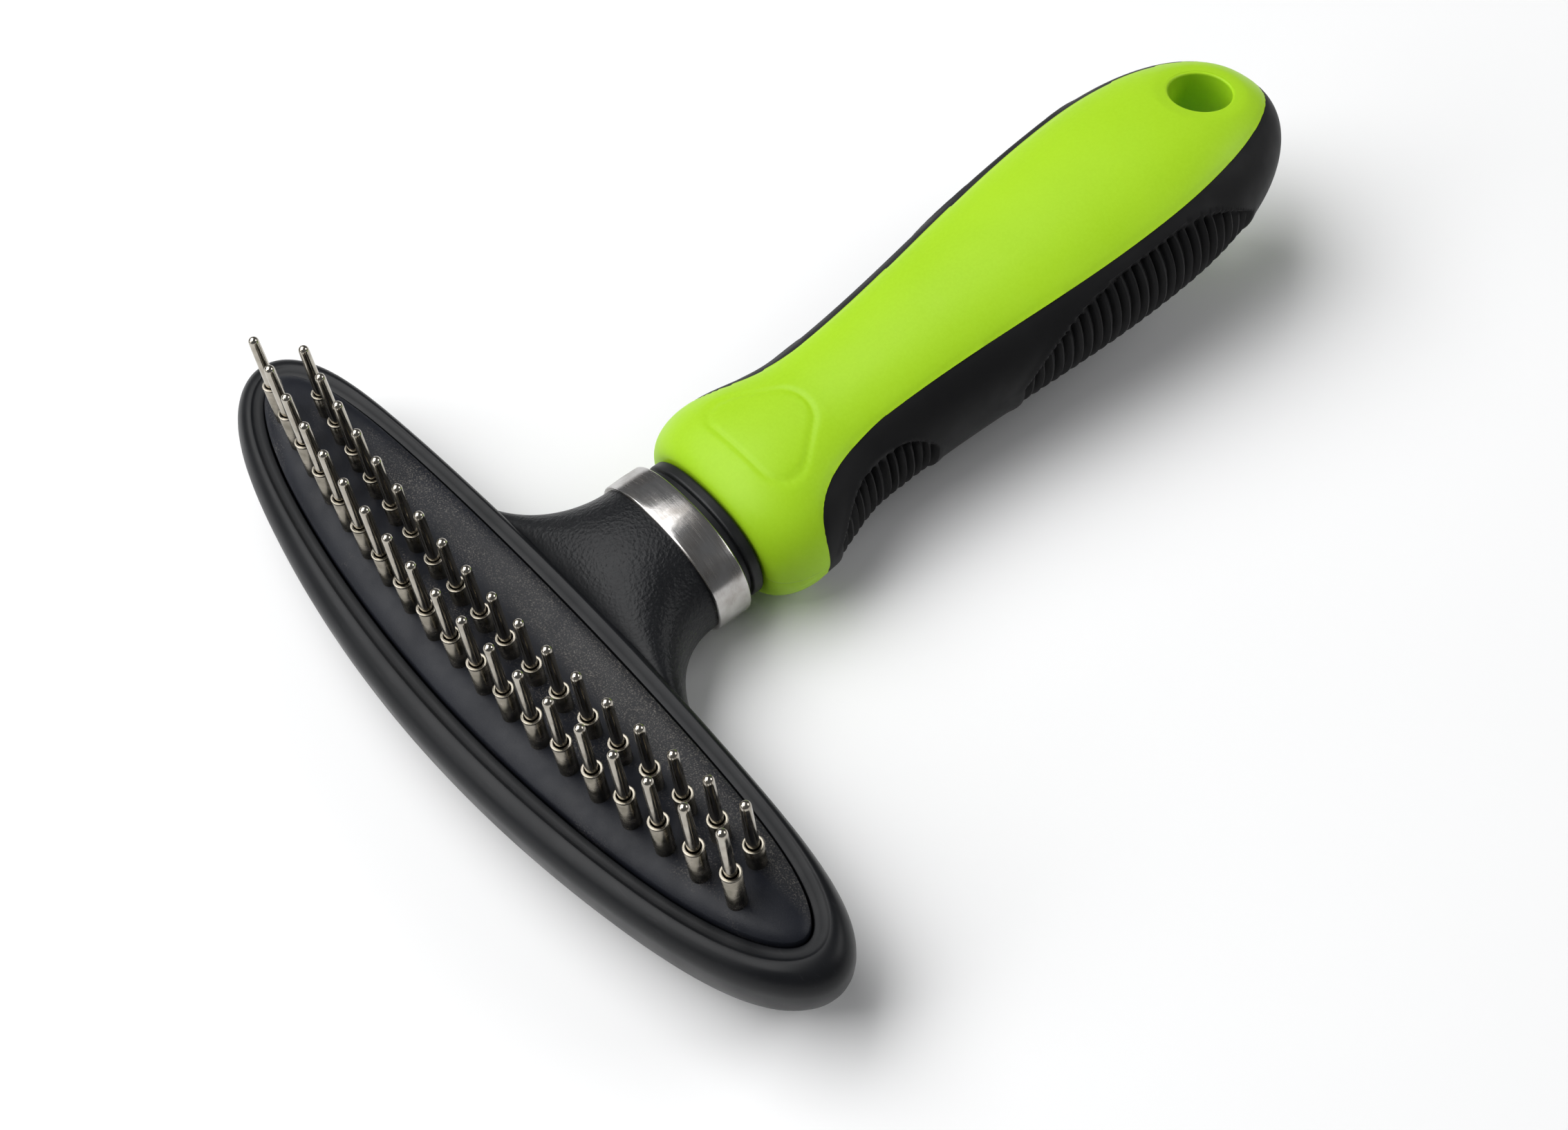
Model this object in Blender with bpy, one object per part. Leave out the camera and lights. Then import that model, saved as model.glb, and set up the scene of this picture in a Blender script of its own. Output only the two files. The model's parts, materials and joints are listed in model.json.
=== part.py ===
"""Double-row deshedding rake: free-spinning teeth in fixed sleeves, an oval head with a neck,
a steel ferrule, and a two-colour handle with a hang hole.

Frame: +X along the head, +Y from the head to the butt of the handle, +Z the way the teeth point.
The origin is the middle of the tool's footprint, at the flat back of the head.
Outlines are laid out from the middle tooth of the front row (y = 0) and moved by ROW_Y at the end.
"""
import math

import bmesh
import bpy
from mathutils import Matrix

MM = 0.001
GAP = 0.3 * MM                     # left between pieces that touch

# Whole tool, laid out from the front row's middle tooth
HULL_HALF_WIDTH = 15.3 * MM
HULL_MID_Y = 4.8 * MM              # middle line of the hull behind the front row
HANDLE_END = 151.3 * MM
HEAD_FRONT = HULL_MID_Y - HULL_HALF_WIDTH
ROW_Y = -(HEAD_FRONT + HANDLE_END) / 2

# Teeth
TOOTH_PITCH = 6.0 * MM
FRONT_TEETH = 19
REAR_TEETH = 18
ROW_SPACING = 6.0 * MM             # rear row behind the front row
ROW_RADIUS = 288.0 * MM            # arc of each row, seen from above
TOOTH_BOW_RADIUS = 800.0 * MM      # the rows' ends rise towards the tips of the teeth
FRONT_MOUTH_Z = 23.7 * MM          # top of a sleeve at the middle of the front row
REAR_MOUTH_Z = 20.3 * MM
SLEEVE_RADIUS = 1.45 * MM
SLEEVE_BAR_HALF_WIDTH = 2.0 * MM   # bar that joins a row's sleeves under the plate
SLEEVE_BAR_THICKNESS = 2.4 * MM
PIN_RADIUS = 0.8 * MM
PIN_REACH = 9.9 * MM               # pin standing out of its sleeve
RUNNING_CLEARANCE = 0.05 * MM
FLANGE_RADIUS = 1.15 * MM
FLANGE_CLEARANCE = 0.2 * MM
PIN_SIDES = 8
SLEEVE_SIDES = 10

# Head: ovals whose half width falls off by a taper towards two ends, rounder at a lower power
# Middle lines: where they cross the Y axis, and how much further back the head's ends lie
HULL_MIDDLE = (HULL_MID_Y, 3.7 * MM)
RIM_MIDDLE = (5.8 * MM, 3.0 * MM)
HEAD_BOW_RADIUS = 2000.0 * MM      # the rim's ends rise a little
OVAL_POINTS = 40
HULL_HALF_LENGTH = 69.0 * MM
HULL_TAPER = 0.49
HULL_POWER = 12
RIM_HALF_WIDTH = 13.1 * MM
RIM_HALF_LENGTH = 65.3 * MM
RIM_TAPER = 0.48
RIM_POWER = 11
BACK_HALF_WIDTH = 9.0 * MM
BACK_HALF_LENGTH = 54.0 * MM
SEAT_HALF_WIDTH = 11.0 * MM
SEAT_HALF_LENGTH = 63.2 * MM
SEAT_TAPER = 0.5
SEAT_POWER = 9
RIM_Z = 15.6 * MM
WIDEST_Z = 12.0 * MM
ARC_STEPS = 3

# Stack inside the head, bottom to top
POCKET_FLOOR_Z = 7.2 * MM
RETAINER_THICKNESS = 1.8 * MM
RETAINER_Z = POCKET_FLOOR_Z + GAP
PLATE_Z = RETAINER_Z + RETAINER_THICKNESS + GAP
FLANGE_THICKNESS = 1.2 * MM
COUNTERBORE_DEPTH = FLANGE_THICKNESS + FLANGE_CLEARANCE
PLATE_EDGE_Z = RIM_Z - GAP
CROWN_HEIGHT = 2.5 * MM            # plate's middle above its edge
CROWN_FALL = 0.19                  # slope of the crown from the front row to the rear row
CROWN_SHARES = (0.12, 0.3, 0.55, 0.8)   # rings of the crown, from the plate's edge to its spine
CROWN_DRAW_IN = 0.08               # how much shorter the innermost ring is

# Neck and the spigot that carries the ferrule, the collar and the handle
FERRULE_START = 32.9 * MM
FERRULE_LENGTH = 5.8 * MM
FERRULE_SIZE = (13.6 * MM, 9.9 * MM)
SPIGOT_SIZE = (10.6 * MM, 7.5 * MM)
SPIGOT_END = 42.0 * MM
TANG_SIZE = (7.5 * MM, 5.0 * MM)
TANG_TIP_SIZE = (6.6 * MM, 4.2 * MM)
TANG_END = 66.0 * MM
COLLAR_STEP_SIZE = (11.7 * MM, 8.3 * MM)
COLLAR_SIZE = (12.4 * MM, 8.9 * MM)
NECK_SIZE = (13.0 * MM, 9.4 * MM)
NECK_Z = 10.2 * MM
COLLAR_STEP_LENGTH = 1.1 * MM
FLARE_SIZE = (32.0 * MM, 5.6 * MM)
FLARE_Y = 18.8 * MM                # where the neck's fillets meet the head
FLARE_DROP = 2.0 * MM              # the flare's middle below the neck's
FLARE_STEPS = 6
NECK_ROOT_Y = 15.0 * MM
SECTION_POINTS = 24
SECTION_POWER = 2.2

# Handle: half widths (x) and half heights (z) at the stations that shape it
HANDLE_START = 42.2 * MM
SHOULDER_Y = 49.3 * MM
WAIST_Y = 64.7 * MM
BELLY_Y = 120.0 * MM
RIM_HALF = (12.4 * MM, 8.9 * MM)
SHOULDER_HALF = (17.1 * MM, 11.4 * MM)
WAIST_HALF = (13.8 * MM, 10.5 * MM)
BELLY_HALF = (18.0 * MM, 11.8 * MM)
BUTT_POWER = 2.25                  # above 2, the butt is fuller than an ellipse
HANDLE_RISE = 0.113                # slope of the handle's middle line
MIDDLE_STATIONS = 9
SHOULDER_SHARES = (0, 0.06, 0.25, 0.6, 1)    # stations from the handle's start to the shoulder
BUTT_ANGLES = (20, 38, 54, 68, 80, 88)       # degrees round the butt, from belly to tip
SMALLEST_HALF = 0.4 * MM
GRIP_THICKNESS = 2.5 * MM
COVER_INSET = 4.3 * MM             # green top's edge inside the handle's widest line
COVER_FRONT_Y = 50.6 * MM          # the grip starts here
COVER_NARROW_Y = 67.0 * MM         # the flare of the green top ends here
COVER_TAIL_RATIO = 0.75
COVER_END_INSET = 2.0 * MM         # green top's end ahead of the butt
COVER_DROP = 0.7 * MM              # depth of the top's cut below the handle's middle line
COVER_STATIONS = 6
COVER_FRONT_SHARES = (-0.2, 0.04, 0.15, 0.35, 0.65, 1)   # stations of the flare, from the grip's front
COVER_TAIL_ANGLES = (30, 55, 75, 88)
HANG_HOLE_Y = 140.4 * MM
HANG_HOLE_RADIUS = 5.0 * MM
HANG_BOSS_RADIUS = 6.8 * MM
HOLE_SIDES = 20

# Cutting solids run past what they cut
OVERCUT = 1.0 * MM
CUT_REACH = 40.0 * MM
SMOOTH_ANGLE = math.radians(35)

GREEN = (0.41, 0.74, 0.035, 1)
GRIP_BLACK = (0.017, 0.017, 0.018, 1)
HEAD_BLACK = (0.026, 0.028, 0.032, 1)
PLATE_BLACK = (0.031, 0.034, 0.042, 1)
STEEL = (0.62, 0.61, 0.60, 1)
NICKEL = (0.66, 0.63, 0.58, 1)


def clear_scene():
    for old in list(bpy.data.objects):
        bpy.data.objects.remove(old, do_unlink=True)


def make_collection(name):
    collection = bpy.data.collections.new(name)
    bpy.context.scene.collection.children.link(collection)
    return collection


def material(name, color, roughness, metallic=0.0):
    mat = bpy.data.materials.new(name)
    mat.use_nodes = True
    shader = mat.node_tree.nodes["Principled BSDF"]
    shader.inputs["Base Color"].default_value = color
    shader.inputs["Roughness"].default_value = roughness
    shader.inputs["Metallic"].default_value = metallic
    return mat


def add_object(name, mesh, collection, mat=None):
    obj = bpy.data.objects.new(name, mesh)
    collection.objects.link(obj)
    if mat:
        mesh.materials.append(mat)
        mesh.shade_smooth()
        mesh.set_sharp_from_angle(angle=SMOOTH_ANGLE)
    else:
        obj.hide_render = True
        obj.display_type = "WIRE"
    return obj


def mesh_from_bmesh(name, bm):
    bmesh.ops.recalc_face_normals(bm, faces=bm.faces)
    bmesh.ops.triangulate(bm, faces=[f for f in bm.faces if len(f.verts) > 4])
    mesh = bpy.data.meshes.new(name)
    bm.to_mesh(mesh)
    bm.free()
    return mesh


def loft(name, rings):
    """A closed solid through rings that hold the same number of points."""
    bm = bmesh.new()
    loops = [[bm.verts.new(point) for point in ring] for ring in rings]
    count = len(rings[0])
    for low, high in zip(loops, loops[1:]):
        for i in range(count):
            j = (i + 1) % count
            bm.faces.new((low[i], low[j], high[j], high[i]))
    bm.faces.new(loops[0])
    bm.faces.new(loops[-1])
    return mesh_from_bmesh(name, bm)


def boolean(target, operation, tool):
    mod = target.modifiers.new(operation.lower(), "BOOLEAN")
    mod.operation = operation
    mod.solver = "EXACT"
    mod.object = tool


def tooth_bow(x):
    """Rise of the tooth rows towards their ends."""
    return x * x / (2 * TOOTH_BOW_RADIUS)


def head_bow(x):
    """Rise of the head's rim towards its ends."""
    return x * x / (2 * HEAD_BOW_RADIUS)


def mid_y(x, middle=RIM_MIDDLE):
    """A middle line of the head, swept back towards its ends."""
    return middle[0] + middle[1] * (x / HULL_HALF_LENGTH) ** 2


def row_arc(x):
    """How far a row falls back from its middle tooth."""
    return ROW_RADIUS - math.sqrt(ROW_RADIUS ** 2 - x * x)


def oval_half(half_width, taper, power, reach):
    """Half width of an oval at a share of its half length."""
    return half_width * (1 - taper * reach * reach) * math.sqrt(max(0.0, 1 - abs(reach) ** power))


def oval(half_width, half_length, taper, power, middle=RIM_MIDDLE):
    """Plan outline of the head: a lens with rounded ends, as (x, y) points."""
    points = []
    for i in range(OVAL_POINTS):
        angle = 2 * math.pi * i / OVAL_POINTS
        reach = math.cos(angle)
        side = math.copysign(1, math.sin(angle))
        half = oval_half(half_width, taper, power, reach)
        points.append((half_length * reach, mid_y(half_length * reach, middle) + side * half))
    return points


def seat_outline(gap):
    """The pocket's outline, drawn in by a gap."""
    return oval(SEAT_HALF_WIDTH - gap, SEAT_HALF_LENGTH - gap, SEAT_TAPER, SEAT_POWER)


def prism_rings(outline, levels):
    """An outline repeated at flat levels."""
    return [[(x, y + ROW_Y, z) for x, y in outline] for z in levels]


def blend(first, second, share):
    """The outline that lies a share of the way from the first to the second."""
    return [(a[0] + (b[0] - a[0]) * share, a[1] + (b[1] - a[1]) * share)
            for a, b in zip(first, second)]


def raised(outline, z):
    """An outline at height z, with the head's bow growing from nothing at the flat back."""
    return [(x, y + ROW_Y, z + head_bow(x) * z / RIM_Z) for x, y in outline]


def section(y, half, z, power=SECTION_POWER):
    """A rounded cross-section of half width and half height, across the Y axis."""
    ring = []
    for i in range(SECTION_POINTS):
        angle = 2 * math.pi * i / SECTION_POINTS
        c, s = math.cos(angle), math.sin(angle)
        reach = (abs(c) ** power + abs(s) ** power) ** (-1 / power)
        ring.append((half[0] * c * reach, y + ROW_Y, z + half[1] * s * reach))
    return ring


def tube_ring(name, stations, bore, collection, mat):
    """A ring around the neck: lofted outside, with a straight bore."""
    ring = add_object(name, loft(name, [section(y, half, NECK_Z) for y, half in stations]),
                      collection, mat)
    ends = (stations[0][0] - OVERCUT, stations[-1][0] + OVERCUT)
    cutter = add_object(name + "_bore", loft(name + "_bore", [section(y, bore, NECK_Z) for y in ends]),
                        CUTTERS)
    boolean(ring, "DIFFERENCE", cutter)
    return ring


def grown(half, amount):
    return (half[0] + amount, half[1] + amount)


def head_shell(collection, mat):
    """Oval hull, neck and tang in one moulding, with a pocket for the tooth plate."""
    rim = oval(RIM_HALF_WIDTH, RIM_HALF_LENGTH, RIM_TAPER, RIM_POWER)
    hull = oval(HULL_HALF_WIDTH, HULL_HALF_LENGTH, HULL_TAPER, HULL_POWER, HULL_MIDDLE)
    back = oval(BACK_HALF_WIDTH, BACK_HALF_LENGTH, HULL_TAPER, HULL_POWER, HULL_MIDDLE)
    rings = []
    for step in range(ARC_STEPS + 1):
        turn = math.pi / 2 * step / ARC_STEPS
        rings.append(raised(blend(back, hull, math.sin(turn)), WIDEST_Z * (1 - math.cos(turn))))
    for step in range(1, ARC_STEPS + 1):
        turn = math.pi / 2 * step / ARC_STEPS
        rings.append(raised(blend(rim, hull, math.cos(turn)),
                            WIDEST_Z + (RIM_Z - WIDEST_Z) * math.sin(turn)))
    shell = add_object("head_shell", loft("head_shell", rings), collection, mat)

    neck = add_object("neck_stock", loft("neck_stock", neck_rings()), CUTTERS)
    boolean(shell, "UNION", neck)
    pocket = loft("pocket", prism_rings(seat_outline(0), (POCKET_FLOOR_Z, 2 * RIM_Z)))
    boolean(shell, "DIFFERENCE", add_object("pocket", pocket, CUTTERS))
    return shell


def neck_rings():
    """From inside the hull, through the concave flare, to the spigot and the tang."""
    rings = [section(NECK_ROOT_Y, FLARE_SIZE, NECK_Z - FLARE_DROP)]
    flare_length = FERRULE_START - GAP - FLARE_Y
    for step in range(FLARE_STEPS + 1):
        turn = math.pi / 2 * step / FLARE_STEPS
        y = FLARE_Y + flare_length * (1 - math.cos(turn))
        swell = 1 - math.sin(turn)
        half = (NECK_SIZE[0] + (FLARE_SIZE[0] - NECK_SIZE[0]) * swell,
                NECK_SIZE[1] + (FLARE_SIZE[1] - NECK_SIZE[1]) * swell)
        rings.append(section(y, half, NECK_Z - FLARE_DROP * swell))
    rings.append(section(FERRULE_START - GAP, SPIGOT_SIZE, NECK_Z))
    rings.append(section(SPIGOT_END, SPIGOT_SIZE, NECK_Z))
    rings.append(section(SPIGOT_END, TANG_SIZE, NECK_Z))
    rings.append(section(TANG_END, TANG_TIP_SIZE, handle_mid_z(TANG_END)))
    return rings


def plate_height(x, y):
    """Top of the tooth plate: highest under the front row, falling to the lip all round."""
    behind_row = y - row_arc(x)
    edge = SEAT_HALF_WIDTH * (1 - SEAT_TAPER * (x / SEAT_HALF_LENGTH) ** 2)
    across = min(1.0, abs(y - mid_y(x)) / edge)
    crown = CROWN_HEIGHT * math.sqrt(max(0.0, 1 - across ** 4))
    fall = CROWN_FALL * max(0.0, behind_row) * (1 - across ** 2)
    return PLATE_EDGE_Z + head_bow(x) + max(0.0, crown - fall)


def row_bar(name, row, growth):
    """The flat bar under a row of sleeves, following the row's arc, grown all round."""
    half = SLEEVE_BAR_HALF_WIDTH + growth
    end = row[-1][0] + half
    setback = row[0][1] - row_arc(row[0][0])
    stations = [-end] + [x for x, y, mouth in row] + [end]
    low, high = PLATE_Z - (OVERCUT if growth else 0), PLATE_Z + SLEEVE_BAR_THICKNESS + growth
    rings = []
    for x in stations:
        y = setback + row_arc(x) + ROW_Y
        rings.append([(x, y - half, low), (x, y + half, low), (x, y + half, high), (x, y - half, high)])
    return loft(name, rings)


def sleeve_tubes(name, row, radius, low):
    """Upright cylinders at a row's teeth, up to the sleeves' mouths."""
    bm = bmesh.new()
    for x, y, mouth in row:
        add_cylinder(bm, x, y, low, mouth, radius, SLEEVE_SIDES)
    return mesh_from_bmesh(name, bm)


def sleeve_row(name, row, collection, mat):
    """A row's fixed sleeves on their bar, bored for the pins and counterbored for their flanges."""
    sleeves = add_object(name, row_bar(name, row, 0.0), collection, mat)
    tubes = sleeve_tubes(name + "_tubes", row, SLEEVE_RADIUS, PLATE_Z + COUNTERBORE_DEPTH)
    boolean(sleeves, "UNION", add_object(name + "_tubes", tubes, CUTTERS))
    bores, seats = bmesh.new(), bmesh.new()
    for x, y, mouth in row:
        add_cylinder(bores, x, y, PLATE_Z - OVERCUT, mouth + OVERCUT,
                     bore_radius(PIN_RADIUS, RUNNING_CLEARANCE), PIN_SIDES)
        add_cylinder(seats, x, y, PLATE_Z - OVERCUT, PLATE_Z + COUNTERBORE_DEPTH,
                     bore_radius(FLANGE_RADIUS, FLANGE_CLEARANCE), PIN_SIDES)
    for cutter_name, bm in ((name + "_bores", bores), (name + "_seats", seats)):
        cutter = add_object(cutter_name, mesh_from_bmesh(cutter_name, bm), CUTTERS)
        boolean(sleeves, "DIFFERENCE", cutter)
    return sleeves


def tooth_plate(collection, mat, rows):
    """Crowned inset plate, with a channel for each row's bar and a hole for each sleeve."""
    seat = seat_outline(GAP)
    rings = prism_rings(seat, (PLATE_Z,))
    rings.append([(x, y + ROW_Y, PLATE_EDGE_Z + head_bow(x)) for x, y in seat])
    spine = [(x, mid_y(x)) for x, y in seat]
    for share in CROWN_SHARES:
        draw_in = 1 - CROWN_DRAW_IN * share
        outline = blend(seat, spine, share)
        rings.append([(x * draw_in, y + ROW_Y, plate_height(x, y)) for x, y in outline])
    plate = add_object("tooth_plate", loft("tooth_plate", rings), collection, mat)

    for number, row in enumerate(rows, 1):
        channel, holes = f"channel_{number}", f"sleeve_holes_{number}"
        boolean(plate, "DIFFERENCE", add_object(channel, row_bar(channel, row, GAP), CUTTERS))
        tubes = sleeve_tubes(holes, row, SLEEVE_RADIUS + GAP, PLATE_Z + SLEEVE_BAR_THICKNESS)
        boolean(plate, "DIFFERENCE", add_object(holes, tubes, CUTTERS))
    return plate


def bore_radius(shaft, clearance):
    """Corner radius of a bore whose flats clear a turning shaft's corners."""
    return (shaft + clearance) / math.cos(math.pi / PIN_SIDES)


def add_cylinder(bm, x, y, low, high, radius, sides):
    made = bmesh.ops.create_cone(bm, cap_ends=True, segments=sides, radius1=radius, radius2=radius,
                                 depth=high - low)
    bmesh.ops.translate(bm, verts=made["verts"], vec=(x, y + ROW_Y, (low + high) / 2))


def tooth_positions():
    """Front and rear teeth as (x, y, height of the sleeve's mouth)."""
    rows = ((FRONT_TEETH, 0.0, FRONT_MOUTH_Z), (REAR_TEETH, ROW_SPACING, REAR_MOUTH_Z))
    for count, setback, mouth in rows:
        row = []
        for i in range(count):
            x = (i - (count - 1) / 2) * TOOTH_PITCH
            row.append((x, setback + row_arc(x), mouth + tooth_bow(x)))
        yield row


def turned(name, profile, sides):
    """A mesh turned about Z from (radius, z) points that run from the top down."""
    rings = [[(r * math.cos(2 * math.pi * i / sides), r * math.sin(2 * math.pi * i / sides), z)
              for i in range(sides)] for r, z in profile]
    return loft(name, rings)


def pin(name, x, y, mouth, collection, mat):
    """A tooth: a round-tipped pin whose flange turns in the plate's counterbore."""
    foot = PLATE_Z
    tip = mouth + PIN_REACH
    profile = [(PIN_RADIUS * math.sin(turn), tip - PIN_RADIUS * (1 - math.cos(turn)))
               for turn in (math.radians(20), math.radians(55), math.radians(90))]
    profile.append((PIN_RADIUS, foot + FLANGE_THICKNESS))
    profile.append((FLANGE_RADIUS, foot + FLANGE_THICKNESS))
    profile.append((FLANGE_RADIUS, foot))
    obj = add_object(name, turned(name, profile, PIN_SIDES), collection, mat)
    obj.location = (x, y + ROW_Y, 0)
    return obj


def pin_retainer(collection, mat):
    """Flat plate under the flanges that keeps the pins in."""
    rings = prism_rings(seat_outline(GAP), (RETAINER_Z, RETAINER_Z + RETAINER_THICKNESS))
    return add_object("pin_retainer", loft("pin_retainer", rings), collection, mat)


def handle_mid_z(y):
    return NECK_Z + HANDLE_RISE * (y - SPIGOT_END)


def ease(low, high, share):
    """A smooth change between two values, level at both ends."""
    return low + (high - low) * (1 - math.cos(math.pi * share)) / 2


def handle_half(y, axis):
    """Half width (axis 0) or half height (axis 1) of the handle at y."""
    if y < SHOULDER_Y:
        back = (SHOULDER_Y - y) / (SHOULDER_Y - HANDLE_START)
        return RIM_HALF[axis] + (SHOULDER_HALF[axis] - RIM_HALF[axis]) * math.sqrt(max(0.0, 1 - back * back))
    if y < WAIST_Y:
        return ease(SHOULDER_HALF[axis], WAIST_HALF[axis], (y - SHOULDER_Y) / (WAIST_Y - SHOULDER_Y))
    if y < BELLY_Y:
        return ease(WAIST_HALF[axis], BELLY_HALF[axis], (y - WAIST_Y) / (BELLY_Y - WAIST_Y))
    along = (y - BELLY_Y) / (HANDLE_END - BELLY_Y)
    return BELLY_HALF[axis] * max(0.0, 1 - along ** BUTT_POWER) ** (1 / BUTT_POWER)


def handle_stations():
    """Places along the handle, closer together where it turns."""
    shoulder = [HANDLE_START + (SHOULDER_Y - HANDLE_START) * s for s in SHOULDER_SHARES]
    middle = [SHOULDER_Y + (BELLY_Y - SHOULDER_Y) * i / MIDDLE_STATIONS
              for i in range(1, MIDDLE_STATIONS + 1)]
    butt = [BELLY_Y + (HANDLE_END - BELLY_Y) * math.sin(math.radians(a)) for a in BUTT_ANGLES]
    return shoulder + middle + butt


def handle_solid(name, growth):
    """The handle's outer form, grown or shrunk all round."""
    rings = []
    for y in handle_stations():
        half = [max(SMALLEST_HALF, handle_half(y, axis) + growth) for axis in (0, 1)]
        if y > BELLY_Y and growth < 0:
            y = BELLY_Y + (y - BELLY_Y) * (HANDLE_END + growth - BELLY_Y) / (HANDLE_END - BELLY_Y)
        rings.append(section(y, half, handle_mid_z(y)))
    if growth > 0:
        rings.append(section(HANDLE_END + growth, (SMALLEST_HALF, SMALLEST_HALF), handle_mid_z(HANDLE_END)))
    return loft(name, rings)


def cover_half(y):
    """Half width of the green top at y, seen from above."""
    if y > BELLY_Y:
        return COVER_TAIL_RATIO * handle_half(y, 0)
    if y > COVER_NARROW_Y:
        return handle_half(max(y, WAIST_Y), 0) - COVER_INSET
    narrow = WAIST_HALF[0] - COVER_INSET
    back = (COVER_NARROW_Y - y) / (COVER_NARROW_Y - COVER_FRONT_Y)
    return narrow + (SHOULDER_HALF[0] + OVERCUT - narrow) * (1 - math.sqrt(max(0.0, 1 - back * back)))


def cover_region(name, growth):
    """The space of the green top: everything inside its outline above the middle line."""
    front = [COVER_FRONT_Y + (COVER_NARROW_Y - COVER_FRONT_Y) * s for s in COVER_FRONT_SHARES]
    middle = [COVER_NARROW_Y + (BELLY_Y - COVER_NARROW_Y) * i / COVER_STATIONS
              for i in range(1, COVER_STATIONS + 1)]
    tail_length = HANDLE_END - COVER_END_INSET - BELLY_Y
    tail = [BELLY_Y + tail_length * math.sin(math.radians(a)) for a in COVER_TAIL_ANGLES]
    stations = front + middle + tail
    bm = bmesh.new()
    loops = []
    for y in stations:
        x = cover_half(y) + growth
        low = handle_mid_z(y) - growth - COVER_DROP
        world_y = y + ROW_Y + (growth if y > BELLY_Y else 0)
        corners = ((-x, low), (x, low), (x, low + CUT_REACH), (-x, low + CUT_REACH))
        loops.append([bm.verts.new((cx, world_y, cz)) for cx, cz in corners])
    for near, far in zip(loops, loops[1:]):
        for i in range(4):
            j = (i + 1) % 4
            bm.faces.new((near[i], near[j], far[j], far[i]))
    bm.faces.new(loops[0])
    bm.faces.new(loops[-1])
    return mesh_from_bmesh(name, bm)


def front_block(name, growth):
    """Everything ahead of the grip's front edge."""
    bm = bmesh.new()
    bmesh.ops.create_cube(bm, size=2 * CUT_REACH)
    back_face = COVER_FRONT_Y + growth + ROW_Y
    bmesh.ops.translate(bm, verts=bm.verts, vec=(0, back_face - CUT_REACH, NECK_Z))
    return mesh_from_bmesh(name, bm)


def upright(name, y, radius, sides):
    """A cylinder through the handle, square to its middle line."""
    bm = bmesh.new()
    bmesh.ops.create_cone(bm, cap_ends=True, segments=sides, radius1=radius, radius2=radius,
                          depth=2 * CUT_REACH)
    bmesh.ops.rotate(bm, verts=bm.verts, matrix=Matrix.Rotation(math.pi / sides, 3, "Z"))
    obj = add_object(name, mesh_from_bmesh(name, bm), CUTTERS)
    obj.location = (0, y + ROW_Y, handle_mid_z(y))
    obj.rotation_euler.x = math.atan(HANDLE_RISE)
    return obj


def handle_body(collection, mat):
    """Green body: the full form at the neck and on top, a core under the grip."""
    body = add_object("handle_body", handle_solid("handle_body", 0.0), collection, mat)
    grip_zone = add_object("grip_zone", handle_solid("grip_zone", OVERCUT), CUTTERS)
    for name, mesh in (("core", handle_solid("core", -GRIP_THICKNESS)),
                       ("cover_zone", cover_region("cover_zone", 0.0)),
                       ("front_zone", front_block("front_zone", 0.0))):
        boolean(grip_zone, "DIFFERENCE", add_object(name, mesh, CUTTERS))
    boolean(grip_zone, "DIFFERENCE", upright("boss", HANG_HOLE_Y, HANG_BOSS_RADIUS, HOLE_SIDES))
    boolean(body, "DIFFERENCE", grip_zone)
    boolean(body, "DIFFERENCE", upright("hang_hole", HANG_HOLE_Y, HANG_HOLE_RADIUS, HOLE_SIDES))
    socket = [section(HANDLE_START - OVERCUT, grown(TANG_SIZE, GAP), NECK_Z),
              section(SPIGOT_END, grown(TANG_SIZE, GAP), NECK_Z),
              section(TANG_END + GAP, grown(TANG_TIP_SIZE, GAP), handle_mid_z(TANG_END))]
    boolean(body, "DIFFERENCE", add_object("socket", loft("socket", socket), CUTTERS))
    return body


def handle_grip(collection, mat):
    """Black soft grip: flanks, belly and butt in one moulding around the green body."""
    grip = add_object("handle_grip", handle_solid("handle_grip", 0.0), collection, mat)
    for name, mesh in (("grip_core", handle_solid("grip_core", GAP - GRIP_THICKNESS)),
                       ("grip_cover", cover_region("grip_cover", GAP)),
                       ("grip_front", front_block("grip_front", GAP))):
        boolean(grip, "DIFFERENCE", add_object(name, mesh, CUTTERS))
    boolean(grip, "DIFFERENCE", upright("grip_boss", HANG_HOLE_Y, HANG_BOSS_RADIUS + GAP, HOLE_SIDES))
    return grip


def build():
    parts = make_collection("deshedding_tool")
    head_mat = material("head_black", HEAD_BLACK, 0.42)
    head_shell(parts, head_mat)
    front, rear = tooth_positions()
    tooth_plate(parts, material("plate_black", PLATE_BLACK, 0.5), (front, rear))
    pin_retainer(parts, material("retainer_black", HEAD_BLACK, 0.6))
    nickel = material("nickel", NICKEL, 0.2, 1.0)
    for row_name, row in (("front", front), ("rear", rear)):
        sleeve_row(f"sleeves_{row_name}", row, parts, nickel)
        for number, (x, y, mouth) in enumerate(row, 1):
            pin(f"pin_{row_name}_{number:02d}", x, y, mouth, parts, nickel)

    ferrule_end = FERRULE_START + FERRULE_LENGTH
    tube_ring("ferrule", [(FERRULE_START, FERRULE_SIZE), (ferrule_end, FERRULE_SIZE)],
              grown(SPIGOT_SIZE, GAP), parts, material("polished_steel", STEEL, 0.22, 1.0))
    collar_mid = ferrule_end + GAP + COLLAR_STEP_LENGTH
    tube_ring("neck_collar", [(ferrule_end + GAP, COLLAR_STEP_SIZE), (collar_mid, COLLAR_STEP_SIZE),
                              (collar_mid, COLLAR_SIZE), (HANDLE_START - GAP, COLLAR_SIZE)],
              grown(SPIGOT_SIZE, GAP), parts, material("collar_black", HEAD_BLACK, 0.5))
    handle_body(parts, material("lime_green", GREEN, 0.38))
    handle_grip(parts, material("grip_black", GRIP_BLACK, 0.6))


clear_scene()
CUTTERS = make_collection("cutters")
build()
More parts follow.
